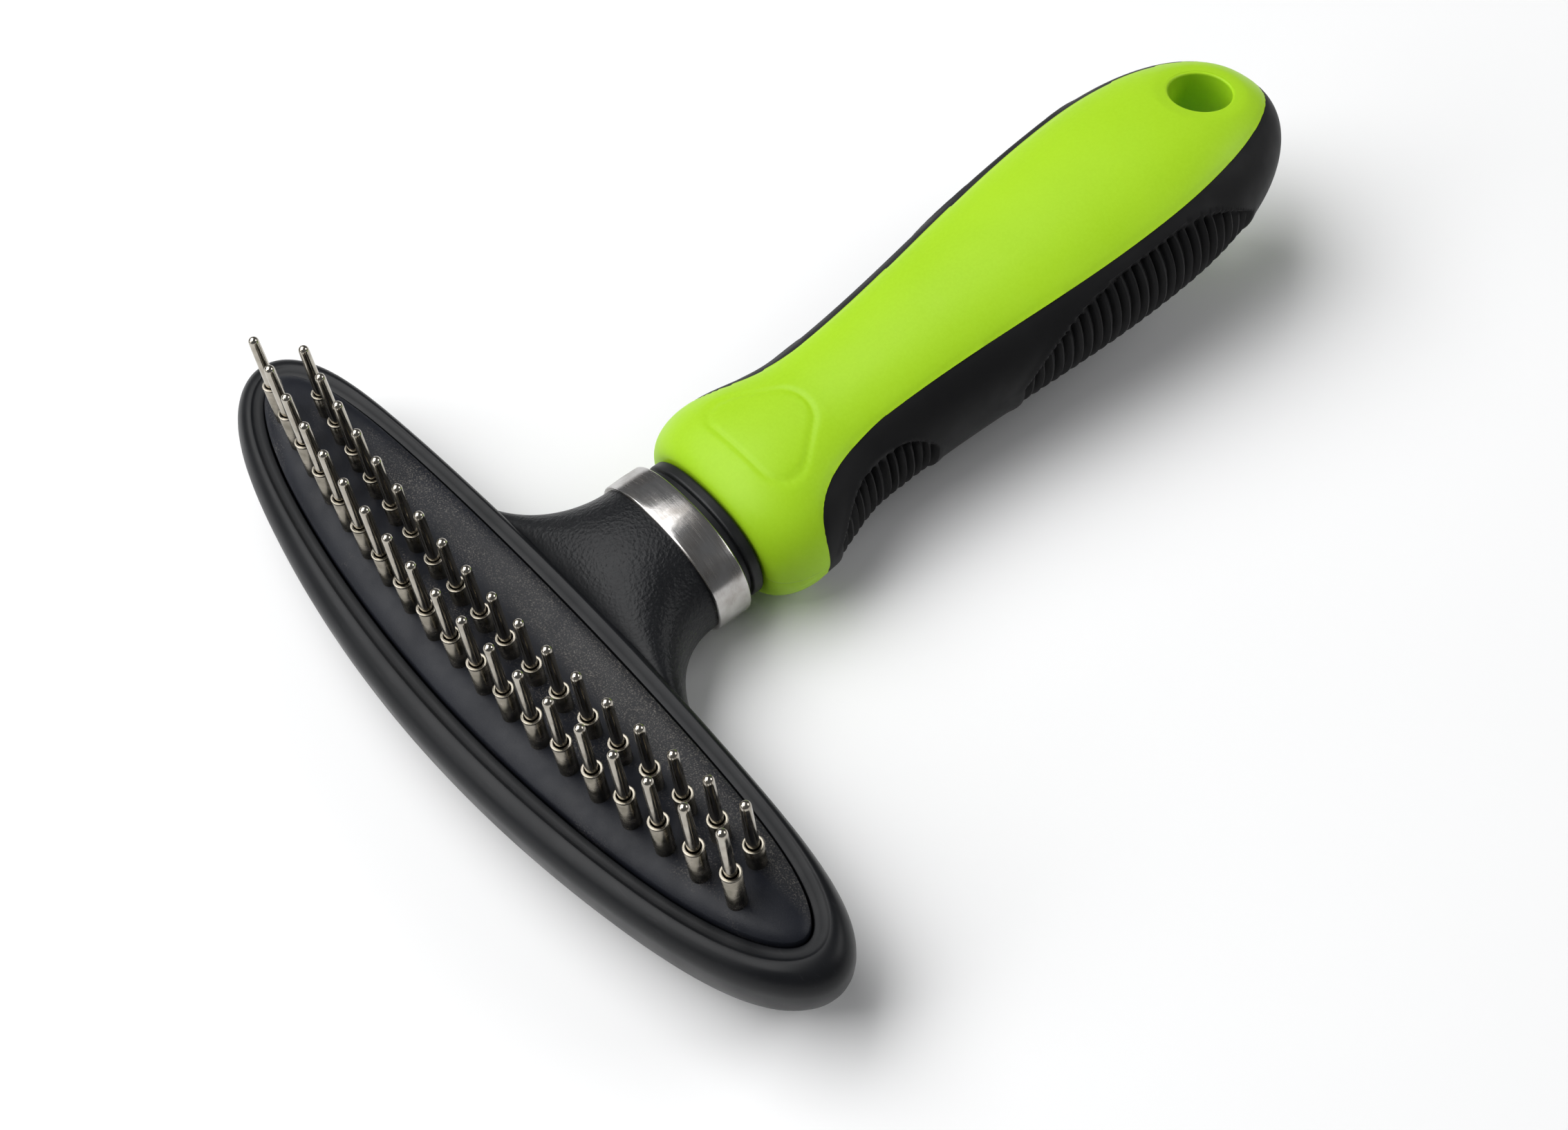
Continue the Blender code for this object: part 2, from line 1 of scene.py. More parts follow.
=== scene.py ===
"""Looks of a double-row deshedding rake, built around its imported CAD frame.

The head, tooth plate, sleeves, pins, ferrule, collar, handle and grip are fine meshes that stand for
the CAD solids, with procedural materials. Layout lengths run from the front row's middle tooth,
which lies at ROW_Y in the frame; all lengths are in metres.
"""
import json
import math

import bpy
import bmesh
import numpy as np
from mathutils import Matrix, Vector


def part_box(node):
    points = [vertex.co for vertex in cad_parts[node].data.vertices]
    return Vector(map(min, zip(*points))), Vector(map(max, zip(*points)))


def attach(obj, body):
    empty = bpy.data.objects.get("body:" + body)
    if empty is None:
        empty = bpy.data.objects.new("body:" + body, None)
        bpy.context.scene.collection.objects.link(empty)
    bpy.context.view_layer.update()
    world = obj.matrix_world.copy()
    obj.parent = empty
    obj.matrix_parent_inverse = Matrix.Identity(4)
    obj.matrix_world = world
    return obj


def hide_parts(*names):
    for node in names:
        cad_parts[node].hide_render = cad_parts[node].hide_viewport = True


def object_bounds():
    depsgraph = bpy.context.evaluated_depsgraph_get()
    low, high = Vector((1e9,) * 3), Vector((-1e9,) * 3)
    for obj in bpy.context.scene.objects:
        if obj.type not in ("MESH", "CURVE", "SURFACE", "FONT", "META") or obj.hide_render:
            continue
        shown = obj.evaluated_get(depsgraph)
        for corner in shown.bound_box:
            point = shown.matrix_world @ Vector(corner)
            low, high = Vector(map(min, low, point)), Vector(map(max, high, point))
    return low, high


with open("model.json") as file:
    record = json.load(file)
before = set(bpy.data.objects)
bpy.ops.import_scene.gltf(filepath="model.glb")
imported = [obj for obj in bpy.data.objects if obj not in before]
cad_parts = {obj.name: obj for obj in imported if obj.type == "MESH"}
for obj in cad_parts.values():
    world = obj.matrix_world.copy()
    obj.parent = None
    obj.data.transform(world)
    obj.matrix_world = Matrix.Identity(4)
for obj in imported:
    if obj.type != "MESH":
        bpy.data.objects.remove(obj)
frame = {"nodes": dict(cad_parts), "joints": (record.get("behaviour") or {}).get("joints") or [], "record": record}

CAD_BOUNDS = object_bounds()
MM = 0.001
JOINTS = {joint["name"]: joint["pos_m"] for joint in frame["record"]["behaviour"]["joints"]}
ROW_Y = JOINTS["spin_front_10"][1]
ROOT = "tool"

# Head: outlines are ovals with a taper towards the ends, and a power that squares them off
HEAD_LOW, HEAD_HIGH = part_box("head_shell")
HULL_MIDDLE = (4.8 * MM, 3.7 * MM)              # middle line behind the front row, and its sweep
RIM_MIDDLE = (5.8 * MM, 3.0 * MM)
HEAD_BOW_RADIUS = 2000 * MM
HULL_HALF_WIDTH = HULL_MIDDLE[0] - (HEAD_LOW[1] - ROW_Y)
HULL_HALF_LENGTH = HEAD_HIGH[0]
HULL_SHAPE = (0.49, 12)
RIM_HALF = (13.1 * MM, 65.3 * MM)
RIM_SHAPE = (0.48, 11)
BACK_HALF = (9.0 * MM, 54.0 * MM)
SEAT_HALF = (11.0 * MM, 63.2 * MM)
SEAT_SHAPE = (0.5, 9)
RIM_Z = 15.6 * MM
WIDEST_Z = 12.0 * MM
POCKET_FLOOR_Z = 7.2 * MM
# the lip as (share of the way from crease to seat, height in mm): it falls a little, then rolls over
LIP_PROFILE = ((0.05, -0.02), (0.12, -0.1), (0.25, -0.16), (0.55, -0.17), (0.86, -0.16),
               (0.94, -0.22), (0.985, -0.4), (1.0, -0.8))
OUTLINE_POINTS = 240
BACK_STEPS = 16
WALL_STEPS = 12

# Tooth plate
PLATE_FOOT_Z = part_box("tooth_plate")[0][2]
PLATE_GAP = 0.3 * MM
PLATE_EDGE_Z = RIM_Z - 0.3 * MM
PLATE_WALL_DROP = 0.5 * MM
PLATE_SPINE_SHARE = 0.93
PLATE_SHARES = (0.006, 0.018, *np.linspace(0.035, 0.985, 40))
CROWN_HEIGHT = 2.5 * MM
CROWN_FALL = 0.19
ROW_RADIUS = 288 * MM

# Teeth
SLEEVE_RADIUS = 1.37 * MM
LIP_RADIUS = 1.45 * MM
SLEEVE_BORE = 1.0 * MM
SLEEVE_ROOT = 2.0 * MM
SLEEVE_EDGE = 0.1 * MM
LIP_HEIGHT = 0.34 * MM
GROOVE_DEPTH = 0.06 * MM
GROOVE_DROP = 0.12 * MM                         # from the lip's underside to the groove
GROOVE_SPAN = (-0.14 * MM, -0.04 * MM, 0.06 * MM)   # start of the narrowing, and ends of its floor
PIN_RADIUS = 0.88 * MM
TIP_RADIUS = 0.77 * MM
FLANGE_RADIUS = 1.1 * MM
FLANGE_THICKNESS = 1.2 * MM
TAPER_SHARES = np.linspace(0.15, 0.95, 6)
TIP_TURNS = np.linspace(0, 0.48 * np.pi, 9)     # stops short of the pole, where the end face is flat
ROUND_SIDES = 28

# Neck, ferrule and collar: superellipse sections across the Y axis
SECTION_POWER = 2.2
SECTION_POINTS = 144
NECK_Z = 10.2 * MM
NECK_SIZE = (13.0 * MM, 9.4 * MM)
NECK_ROOT_Y = 15.0 * MM
FLARE_Y = 18.8 * MM
FLARE_SIZE = (32.0 * MM, 5.6 * MM)
FLARE_DROP = 2.0 * MM
FLARE_STEPS = 40
SPIGOT_START = 0.02 * MM
FERRULE_LOW, FERRULE_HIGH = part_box("ferrule")
COLLAR_LOW, COLLAR_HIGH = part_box("neck_collar")
SPIGOT_SIZE = (10.6 * MM, 7.5 * MM)
COLLAR_STEP_SIZE = (11.7 * MM, 8.3 * MM)
COLLAR_STEP_LENGTH = 1.1 * MM
COLLAR_STEP_EDGE = 0.1 * MM
RING_BORE_GAP = 0.3 * MM
FERRULE_EDGE = 0.35 * MM
FERRULE_CROWN = 0.05 * MM
COLLAR_EDGE = 0.4 * MM
EDGE_STEPS = 6
CROWN_STEPS = 9

# Handle
HANDLE_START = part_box("handle_body")[0][1] - ROW_Y
HANDLE_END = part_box("handle_grip")[1][1] - ROW_Y
SHOULDER_Y = 49.3 * MM
WAIST_Y = 64.7 * MM
BELLY_Y = 120.0 * MM
RIM_SECTION = (12.4 * MM, 8.9 * MM)
SHOULDER_SECTION = (17.1 * MM, 11.4 * MM)
WAIST_SECTION = (13.8 * MM, 10.5 * MM)
BELLY_SECTION = (18.0 * MM, 11.8 * MM)
BUTT_POWER = 2.25
HANDLE_RISE = 0.113
RISE_START_Y = 42.0 * MM
GRIP_THICKNESS = 2.3 * MM
GRIP_SEAM = 0.06 * MM
GRIP_SINK = 0.02 * MM
GRIP_INNER_GAP = 0.1 * MM
SEAM_DEPTH = 0.12 * MM
SEAM_WIDTH = 0.45 * MM
COVER_INSET = 4.3 * MM
COVER_FRONT_Y = 50.0 * MM
COVER_NARROW_Y = 68.0 * MM
COVER_FLARE = 1.5 * MM
COVER_END_Y = HANDLE_END - 1.1 * MM
COVER_POWER = 2.1
COVER_RUNOUT = 3
HANDLE_RING_POINTS = 164
STATION_STEP = 0.27 * MM
SHOULDER_STATIONS = 30
BUTT_STATIONS = 40
BUTT_LENGTH = 9 * MM
BUTT_LAST_ANGLE = 88.5
CORE_SHARE = 0.25                               # the core keeps at least this share of the radius

# Hang hole, badge recess and the grip's ribbed fields
HANG_HOLE_Y = 140.4 * MM
HANG_HOLE_RADIUS = 4.8 * MM
HANG_BOSS_RADIUS = 6.8 * MM
HOLE_ROUNDING = 0.5 * MM
HOLE_SIDES = 96
ROUNDING_STEPS = 9
MOUTH_SPREAD = 0.5 * MM
MOUTH_RISE = 1.2 * MM
DISH_RADIUS = 7.4 * MM
DISH_DEPTH = 0.35 * MM
BADGE_Y = 54.6 * MM
# the badge's three sides as (normal x, normal y, distance from its middle)
BADGE_SIDES = ((0.0, -1.0, 6.28 * MM), (0.764, 0.645, 6.19 * MM), (-0.764, 0.645, 6.19 * MM))
BADGE_POWER = 1.71
BADGE_GROOVE = 0.32 * MM
BADGE_DEPTH = 0.2 * MM
BADGE_FLOOR = 0.3                               # depth inside the border, as a share of the groove's
BADGE_SCALE = 5 * MM
# peak and reach (ahead, behind) along the handle, angles from the top at the peak and at the ends
RIB_FIELDS = (
    {"peak": 64.5 * MM, "reach": (11.5 * MM, 9.0 * MM), "top": 63, "end": 90, "ribs": 14},
    {"peak": 115.0 * MM, "reach": (26.0 * MM, 19.5 * MM), "top": 55, "end": 92, "ribs": 26},
)
FIELD_DEPTH = 1.3 * MM
RIB_HEIGHT = 1.15 * MM
RIB_POWER = 1.1
RIB_INSET = 0.2 * MM
RIB_EASE = 0.45 * MM
FIELD_POWER = 3
FIELD_EDGE = 0.6 * MM
BORDER_RISE = 0.16 * MM
BORDER_WIDTH = 0.9 * MM

# Angles in degrees above which an edge is shaded sharp
SHARP_ANGLE = 40
HULL_SHARP_ANGLE = 28
HEAD_SHARP_ANGLE = 32
RING_SHARP_ANGLE = 45
TOOTH_SHARP_ANGLE = 50

# Colours, linear; the noise ranges that mix two close ones, and that vary the roughness
LIME = (0.355, 0.615, 0.015)
LIME_DEEP = (0.33, 0.58, 0.012)
LIME_LIGHT = (0.39, 0.66, 0.024)
LIME_PALE = (0.42, 0.68, 0.12)
RUBBER = (0.0035, 0.0035, 0.004)
RUBBER_WORN = (0.0055, 0.0055, 0.006)
RUBBER_DUST = (0.03, 0.03, 0.03)
HEAD_BLACK = (0.005, 0.0055, 0.0065)
HEAD_GREY = (0.0075, 0.008, 0.0095)
HEAD_SCUFF = (0.05, 0.05, 0.055)
PLATE_BLACK = (0.008, 0.009, 0.013)
PLATE_GREY = (0.012, 0.0135, 0.019)
# a greyer tone painted behind the rear row as a highlight band, where the plate's sloping rim catches the light
PLATE_HIGHLIGHT_GREY = (0.028, 0.028, 0.029)
PLATE_SCUFF = (0.2, 0.185, 0.165)
PAINTED_HIGHLIGHT_BAND = (ROW_Y + 9.6 * MM, ROW_Y + 11.6 * MM)   # where the plate's painted highlight band starts, and is full
STEEL = (0.54, 0.53, 0.52)
STEEL_WARM = (0.32, 0.3, 0.28)
NICKEL = (0.46, 0.43, 0.375)
NICKEL_WARM = (0.36, 0.33, 0.28)
# the sleeves' nickel is the pins' nickel darkened: painted shade for the dark surroundings the sleeves reflect
SHADED_SLEEVE_NICKEL = (0.2, 0.185, 0.15)
MOULD_LINE_Z = NECK_Z - 0.6 * MM
MOTTLE = (0.35, 0.7)
UNEVEN = (0.3, 0.7)
MIX_COLOUR_INPUTS = (6, 7)
MIX_COLOUR_OUTPUT = 2

# Camera, lights and floor: azimuths run from -Y towards +X, and the lights' angles are in degrees
CAMERA_TARGET = Vector((14.07 * MM, 44.42 * MM + ROW_Y, 12 * MM))
CAMERA_AZIMUTH = math.radians(57.82)
CAMERA_ELEVATION = math.radians(52.81)
CAMERA_ROLL = math.radians(-8.84)
CAMERA_DISTANCE = 307.04 * MM
CAMERA_LENS = 50.32
FLOOR_HALF = 2.0
FLOOR_GAP = 0.05 * MM
FLOOR_TINTS = ((0.86, 0.86, 0.86), (0.89, 0.89, 0.89))
FLOOR_CLOUDS = 0.12
SENSOR_WIDTH = 36
NEAR_CLIP = 0.01
SOFTBOXES = (
    {"name": "top_softbox", "azimuth": -50, "elevation": 60, "distance": 0.9, "size": (1.1, 0.8),
     "watts": 11.0},
    {"name": "side_softbox", "azimuth": 150, "elevation": 35, "distance": 0.9, "size": (0.5, 0.35),
     "watts": 2.0},
    {"name": "front_fill", "azimuth": -20, "elevation": 24, "distance": 1.0, "size": (0.7, 0.3),
     "watts": 1.6},
)
LIGHT_TARGET = Vector((0, 0, 0.01))
WORLD_COLOUR = (0.9, 0.92, 0.95, 1)
WORLD_STRENGTH = 0.15


# ---------------------------------------------------------------- mesh helpers

def make_object(name, vertices, faces, sharp_angle=SHARP_ANGLE):
    """An object with smooth shading, made from points and faces."""
    mesh = bpy.data.meshes.new(name)
    mesh.from_pydata([tuple(v) for v in vertices], [], faces)
    mesh.update()
    bm = bmesh.new()
    bm.from_mesh(mesh)
    bmesh.ops.recalc_face_normals(bm, faces=bm.faces)
    bm.to_mesh(mesh)
    bm.free()
    mesh.shade_smooth()
    mesh.set_sharp_from_angle(angle=math.radians(sharp_angle))
    obj = bpy.data.objects.new(name, mesh)
    bpy.context.scene.collection.objects.link(obj)
    return obj


def wall_faces(count, first, second):
    """Quads between two rings of count points, numbered first and second."""
    faces = []
    for i in range(count):
        j = (i + 1) % count
        faces.append((first * count + i, first * count + j, second * count + j, second * count + i))
    return faces


def loft(name, rings, sharp_angle=SHARP_ANGLE):
    """A closed solid through rings that hold the same number of points."""
    count = len(rings[0])
    faces = []
    for k in range(len(rings) - 1):
        faces += wall_faces(count, k, k + 1)
    faces.append(tuple(range(count)))
    faces.append(tuple(range((len(rings) - 1) * count, len(rings) * count)))
    return make_object(name, np.concatenate(rings), faces, sharp_angle)


def closed_tube(name, rings, sharp_angle=SHARP_ANGLE):
    """A ring-shaped solid: the last ring joins the first."""
    faces = []
    for k in range(len(rings)):
        faces += wall_faces(len(rings[0]), k, (k + 1) % len(rings))
    return make_object(name, np.concatenate(rings), faces, sharp_angle)


def apply_modifiers(obj):
    """Replaces an object's mesh by its evaluated one."""
    depsgraph = bpy.context.evaluated_depsgraph_get()
    mesh = bpy.data.meshes.new_from_object(obj.evaluated_get(depsgraph))
    obj.modifiers.clear()
    obj.data = mesh


def boolean(target, operation, tool, sharp_angle=SHARP_ANGLE):
    """Joins the tool to the target or cuts it out, and removes the tool."""
    mod = target.modifiers.new("boolean", "BOOLEAN")
    mod.operation = operation
    mod.solver = "EXACT"
    mod.object = tool
    apply_modifiers(target)
    bpy.data.objects.remove(tool)
    target.data.shade_smooth()
    target.data.set_sharp_from_angle(angle=math.radians(sharp_angle))


def smoothstep(value):
    t = np.clip(value, 0, 1)
    return t * t * (3 - 2 * t)


def superellipse(count):
    """Angle, cosine, sine and reach of a rounded section at evenly spaced points."""
    angle = 2 * np.pi * np.arange(count) / count
    c = np.cos(angle)
    s = np.sin(angle)
    reach = (np.abs(c) ** SECTION_POWER + np.abs(s) ** SECTION_POWER) ** (-1 / SECTION_POWER)
    return angle, c, s, reach


# ---------------------------------------------------------------- head

def mid_y(x, middle=RIM_MIDDLE):
    """The head's middle line, which sweeps back towards both ends."""
    return middle[0] + middle[1] * (x / HULL_HALF_LENGTH) ** 2


def head_bow(x):
    return x * x / (2 * HEAD_BOW_RADIUS)


def oval(half_width, half_length, shape, middle=RIM_MIDDLE):
    """Plan outline of the head as an array of (x, y)."""
    taper, power = shape
    angle = 2 * np.pi * (np.arange(OUTLINE_POINTS) + 0.5) / OUTLINE_POINTS
    reach = np.cos(angle)
    half = half_width * (1 - taper * reach ** 2) * np.sqrt(1 - np.abs(reach) ** power)
    x = half_length * reach
    return np.stack([x, mid_y(x, middle) + np.sign(np.sin(angle)) * half], axis=1)


def head_ring(outline, z, bow_share=1.0):
    """An outline at height z, in the frame."""
    x = outline[:, 0]
    return np.stack([x, outline[:, 1] + ROW_Y, z + head_bow(x) * bow_share], axis=1)


def mixed(first, second, share):
    return first + (second - first) * share


def hull_rings():
    """From the flat back, round the wall to the rim's crease, over the lip and into the pocket."""
    back = oval(*BACK_HALF, HULL_SHAPE, HULL_MIDDLE)
    hull = oval(HULL_HALF_WIDTH, HULL_HALF_LENGTH, HULL_SHAPE, HULL_MIDDLE)
    rim = oval(*RIM_HALF, RIM_SHAPE)
    seat = oval(*SEAT_HALF, SEAT_SHAPE)
    rings = []
    for turn in np.linspace(0, np.pi / 2, BACK_STEPS):
        z = WIDEST_Z * (1 - math.cos(turn))
        rings.append(head_ring(mixed(back, hull, math.sin(turn)), z, z / RIM_Z))
    for turn in np.linspace(0, np.pi / 2, WALL_STEPS)[1:]:
        z = WIDEST_Z + (RIM_Z - WIDEST_Z) * math.sin(turn)
        rings.append(head_ring(mixed(rim, hull, math.cos(turn)), z, z / RIM_Z))
    for share, height in LIP_PROFILE:
        rings.append(head_ring(mixed(rim, seat, share), RIM_Z + height * MM))
    rings.append(head_ring(seat, POCKET_FLOOR_Z, 0))
    return rings


def section(y, half, z):
    """A rounded cross-section of half width and half height at y, in the frame."""
    _, c, s, reach = superellipse(SECTION_POINTS)
    along = np.full(SECTION_POINTS, y + ROW_Y)
    return np.stack([half[0] * c * reach, along, z + half[1] * s * reach], axis=1)


def neck_rings():
    """The concave flare from the hull to the ferrule, then the spigot inside ferrule and collar."""
    end = FERRULE_LOW[1] - ROW_Y
    rings = [section(NECK_ROOT_Y, FLARE_SIZE, NECK_Z - FLARE_DROP)]
    for turn in np.linspace(0, np.pi / 2, FLARE_STEPS):
        y = FLARE_Y + (end - FLARE_Y) * (1 - math.cos(turn))
        swell = 1 - math.sin(turn)
        half = [small + (large - small) * swell for small, large in zip(NECK_SIZE, FLARE_SIZE)]
        rings.append(section(y, half, NECK_Z - FLARE_DROP * swell))
    rings.append(section(end + SPIGOT_START, SPIGOT_SIZE, NECK_Z))
    rings.append(section(COLLAR_HIGH[1] - ROW_Y, SPIGOT_SIZE, NECK_Z))
    return rings


def build_head():
    head = loft("head_moulding", hull_rings(), HULL_SHARP_ANGLE)
    neck = loft("neck_stock", neck_rings())
    boolean(head, "UNION", neck, HEAD_SHARP_ANGLE)
    return head


# ---------------------------------------------------------------- tooth plate and teeth

def row_arc(x):
    """How far the front row bows back at x."""
    return ROW_RADIUS - np.sqrt(ROW_RADIUS ** 2 - x * x)


def plate_height(x, y):
    """Top of the tooth plate, highest under the front row, at layout (x, y)."""
    edge = SEAT_HALF[0] * (1 - SEAT_SHAPE[0] * (x / SEAT_HALF[1]) ** 2)
    across = (np.abs(y - mid_y(x)) / edge) ** 2
    out = np.minimum(1, across + np.abs(x / SEAT_HALF[1]) ** SEAT_SHAPE[1])
    crown = CROWN_HEIGHT * np.sqrt(1 - out ** 2)
    fall = CROWN_FALL * np.maximum(0, y - row_arc(x)) * (1 - out)
    return PLATE_EDGE_Z + head_bow(x) + np.maximum(0, crown - fall)


def build_plate():
    """The crowned plate: a wall inside the groove, then rings that close in on the spine."""
    seat = oval(SEAT_HALF[0] - PLATE_GAP, SEAT_HALF[1] - PLATE_GAP, SEAT_SHAPE)
    spine = np.stack([seat[:, 0] * PLATE_SPINE_SHARE, mid_y(seat[:, 0])], axis=1)
    rings = [head_ring(seat, PLATE_FOOT_Z, 0), head_ring(seat, PLATE_EDGE_Z - PLATE_WALL_DROP)]
    for share in PLATE_SHARES:
        outline = mixed(seat, spine, share)
        top = plate_height(outline[:, 0], outline[:, 1])
        rings.append(np.stack([outline[:, 0], outline[:, 1] + ROW_Y, top], axis=1))
    return loft("tooth_bed", rings, TOOTH_SHARP_ANGLE)


def turned(profile, x, y):
    """Rings about an upright axis at frame (x, y), from (radius, z) points."""
    angle = 2 * np.pi * np.arange(ROUND_SIDES) / ROUND_SIDES
    rings = []
    for r, z in profile:
        level = np.full(ROUND_SIDES, z)
        rings.append(np.stack([x + r * np.cos(angle), y + r * np.sin(angle), level], axis=1))
    return rings


def build_sleeve(name, x, y, mouth):
    """A fixed metal tube, with a flat lip above a fine groove at its mouth."""
    foot = float(plate_height(np.array(x), np.array(y - ROW_Y))) - SLEEVE_ROOT
    edge = SLEEVE_EDGE
    floor = SLEEVE_RADIUS - GROOVE_DEPTH
    groove = mouth - LIP_HEIGHT - GROOVE_DROP
    narrowing, floor_start, floor_end = GROOVE_SPAN
    profile = [(SLEEVE_RADIUS, foot), (SLEEVE_RADIUS, groove + narrowing),
               (floor, groove + floor_start), (floor, groove + floor_end),
               (LIP_RADIUS - edge / 2, mouth - LIP_HEIGHT)]
    for turn in np.linspace(0, np.pi / 2, 5):
        profile.append((LIP_RADIUS - edge + edge * math.cos(turn), mouth - edge + edge * math.sin(turn)))
    for turn in np.linspace(np.pi / 2, np.pi, 4):
        profile.append((SLEEVE_BORE + edge + edge * math.cos(turn), mouth - edge + edge * math.sin(turn)))
    profile.append((SLEEVE_BORE, foot))
    return closed_tube(name, turned(profile, x, y))


def build_pin(name, x, y, foot, mouth, tip):
    """A round-tipped pin that tapers from its sleeve's mouth, with a flange that keeps it in the plate."""
    profile = [(FLANGE_RADIUS, foot), (FLANGE_RADIUS, foot + FLANGE_THICKNESS),
               (PIN_RADIUS, foot + FLANGE_THICKNESS), (PIN_RADIUS, mouth)]
    ball = tip - TIP_RADIUS
    for share in TAPER_SHARES:
        profile.append((PIN_RADIUS + (TIP_RADIUS - PIN_RADIUS) * share, mouth + (ball - mouth) * share))
    for turn in TIP_TURNS:
        profile.append((TIP_RADIUS * math.cos(turn), ball + TIP_RADIUS * math.sin(turn)))
    return loft(name, turned(profile, x, y), TOOTH_SHARP_ANGLE)


# ---------------------------------------------------------------- ferrule and collar

def ring_piece(name, outer):
    """A band round the spigot: outer (y, half sizes) stations, then back through the bore."""
    bore = [half + RING_BORE_GAP for half in SPIGOT_SIZE]
    rings = [section(y, half, NECK_Z) for y, half in outer]
    rings += [section(y, bore, NECK_Z) for y in np.linspace(outer[-1][0], outer[0][0], 3)]
    return closed_tube(name, rings, RING_SHARP_ANGLE)


def rounded_band(start, end, size, radius, crown=0.0):
    """Stations of a band whose two edges are rounded and whose middle swells a little."""
    stations = []
    for turn in np.linspace(0, np.pi / 2, EDGE_STEPS):
        inset = radius * (1 - math.sin(turn))
        stations.append((start + radius * (1 - math.cos(turn)), (size[0] - inset, size[1] - inset)))
    for share in np.linspace(0, 1, CROWN_STEPS)[1:-1]:
        swell = crown * math.sin(math.pi * share)
        y = start + radius + (end - start - 2 * radius) * share
        stations.append((y, (size[0] + swell, size[1] + swell)))
    for turn in np.linspace(np.pi / 2, 0, EDGE_STEPS):
        inset = radius * (1 - math.sin(turn))
        stations.append((end - radius * (1 - math.cos(turn)), (size[0] - inset, size[1] - inset)))
    return stations


def box_half(low, high):
    """Half width and half height of a node's box."""
    return ((high[0] - low[0]) / 2, (high[2] - low[2]) / 2)


def build_ferrule():
    size = box_half(FERRULE_LOW, FERRULE_HIGH)
    start = FERRULE_LOW[1] - ROW_Y
    end = FERRULE_HIGH[1] - ROW_Y
    outer = rounded_band(start, end, size, FERRULE_EDGE, FERRULE_CROWN)
    return ring_piece("steel_ferrule", outer)


def build_collar():
    size = box_half(COLLAR_LOW, COLLAR_HIGH)
    start = COLLAR_LOW[1] - ROW_Y
    end = COLLAR_HIGH[1] - ROW_Y
    step = start + COLLAR_STEP_LENGTH
    outer = [(start, COLLAR_STEP_SIZE), (step - COLLAR_STEP_EDGE, COLLAR_STEP_SIZE)]
    outer += rounded_band(step, end, size, COLLAR_EDGE)
    return ring_piece("stepped_collar", outer)


# ---------------------------------------------------------------- handle

def handle_mid_z(y):
    """The handle's middle line, which rises towards the butt."""
    return NECK_Z + HANDLE_RISE * (y - RISE_START_Y)


def ease(low, high, share):
    return low + (high - low) * (1 - np.cos(np.pi * share)) / 2


def handle_half(y, axis):
    """Half width (axis 0) or half height (axis 1) of the handle at each y of an array."""
    y = np.asarray(y, float)
    back = np.clip((SHOULDER_Y - y) / (SHOULDER_Y - HANDLE_START), 0, 1)
    neck = RIM_SECTION[axis] + (SHOULDER_SECTION[axis] - RIM_SECTION[axis]) * np.sqrt(1 - back ** 2)
    waist = ease(SHOULDER_SECTION[axis], WAIST_SECTION[axis], (y - SHOULDER_Y) / (WAIST_Y - SHOULDER_Y))
    belly = ease(WAIST_SECTION[axis], BELLY_SECTION[axis], (y - WAIST_Y) / (BELLY_Y - WAIST_Y))
    along = np.clip((y - BELLY_Y) / (HANDLE_END - BELLY_Y), 0, 1)
    butt = BELLY_SECTION[axis] * (1 - along ** BUTT_POWER) ** (1 / BUTT_POWER)
    return np.select([y < SHOULDER_Y, y < WAIST_Y, y < BELLY_Y], [neck, waist, belly], butt)


def cover_half(y):
    """Half width of the green top at y, seen from above; it runs out at both ends."""
    back = np.clip((COVER_NARROW_Y - y) / (COVER_NARROW_Y - COVER_FRONT_Y), 0, 1)
    narrow = WAIST_SECTION[0] - COVER_INSET
    front = narrow + (SHOULDER_SECTION[0] + COVER_FLARE - narrow) * (1 - np.sqrt(1 - back ** 2))
    middle = handle_half(np.maximum(y, WAIST_Y), 0) - COVER_INSET
    along = np.clip((y - BELLY_Y) / (COVER_END_Y - BELLY_Y), 0, 1)
    tail = (BELLY_SECTION[0] - COVER_INSET) * (1 - along ** COVER_POWER) ** (1 / COVER_POWER)
    past = COVER_RUNOUT * np.maximum(0, y - COVER_END_Y)
    return np.select([y < COVER_NARROW_Y, y < BELLY_Y], [front, middle], tail - past)


def handle_stations():
    """Places along the handle: close together where the form turns quickly."""
    turn = np.linspace(0, np.pi / 2, SHOULDER_STATIONS)
    shoulder = HANDLE_START + (SHOULDER_Y - HANDLE_START) * (1 - np.cos(turn))
    butt_start = HANDLE_END - BUTT_LENGTH
    middle = np.arange(SHOULDER_Y + STATION_STEP, butt_start, STATION_STEP)
    butt = butt_start + BUTT_LENGTH * np.sin(np.linspace(0, np.radians(BUTT_LAST_ANGLE), BUTT_STATIONS))
    return np.concatenate([shoulder, middle, butt])


def handle_grid():
    """The outer form as a grid of points, with the angle from the top of each."""
    stations = handle_stations()
    angle, c, s, reach = superellipse(HANDLE_RING_POINTS)
    wide = handle_half(stations, 0)[:, None]
    tall = handle_half(stations, 1)[:, None]
    y = np.repeat(stations[:, None], HANDLE_RING_POINTS, axis=1)
    grid = np.stack([wide * c * reach, y, handle_mid_z(y) + tall * s * reach], axis=2)
    from_top = np.abs((np.pi / 2 - angle + np.pi) % (2 * np.pi) - np.pi)
    return grid, np.repeat(from_top[None, :], len(stations), axis=0)


def grid_normals(grid):
    """Outward normals of the outer form."""
    along = np.gradient(grid, axis=0)
    around = np.roll(grid, -1, axis=1) - np.roll(grid, 1, axis=1)
    normal = np.cross(around, along)
    normal /= np.maximum(1e-12, np.linalg.norm(normal, axis=2, keepdims=True))
    middle = grid.mean(axis=1, keepdims=True)
    outward = np.sign(np.sum((grid - middle) * normal, axis=2, keepdims=True))
    return normal * np.where(outward == 0, 1, outward)


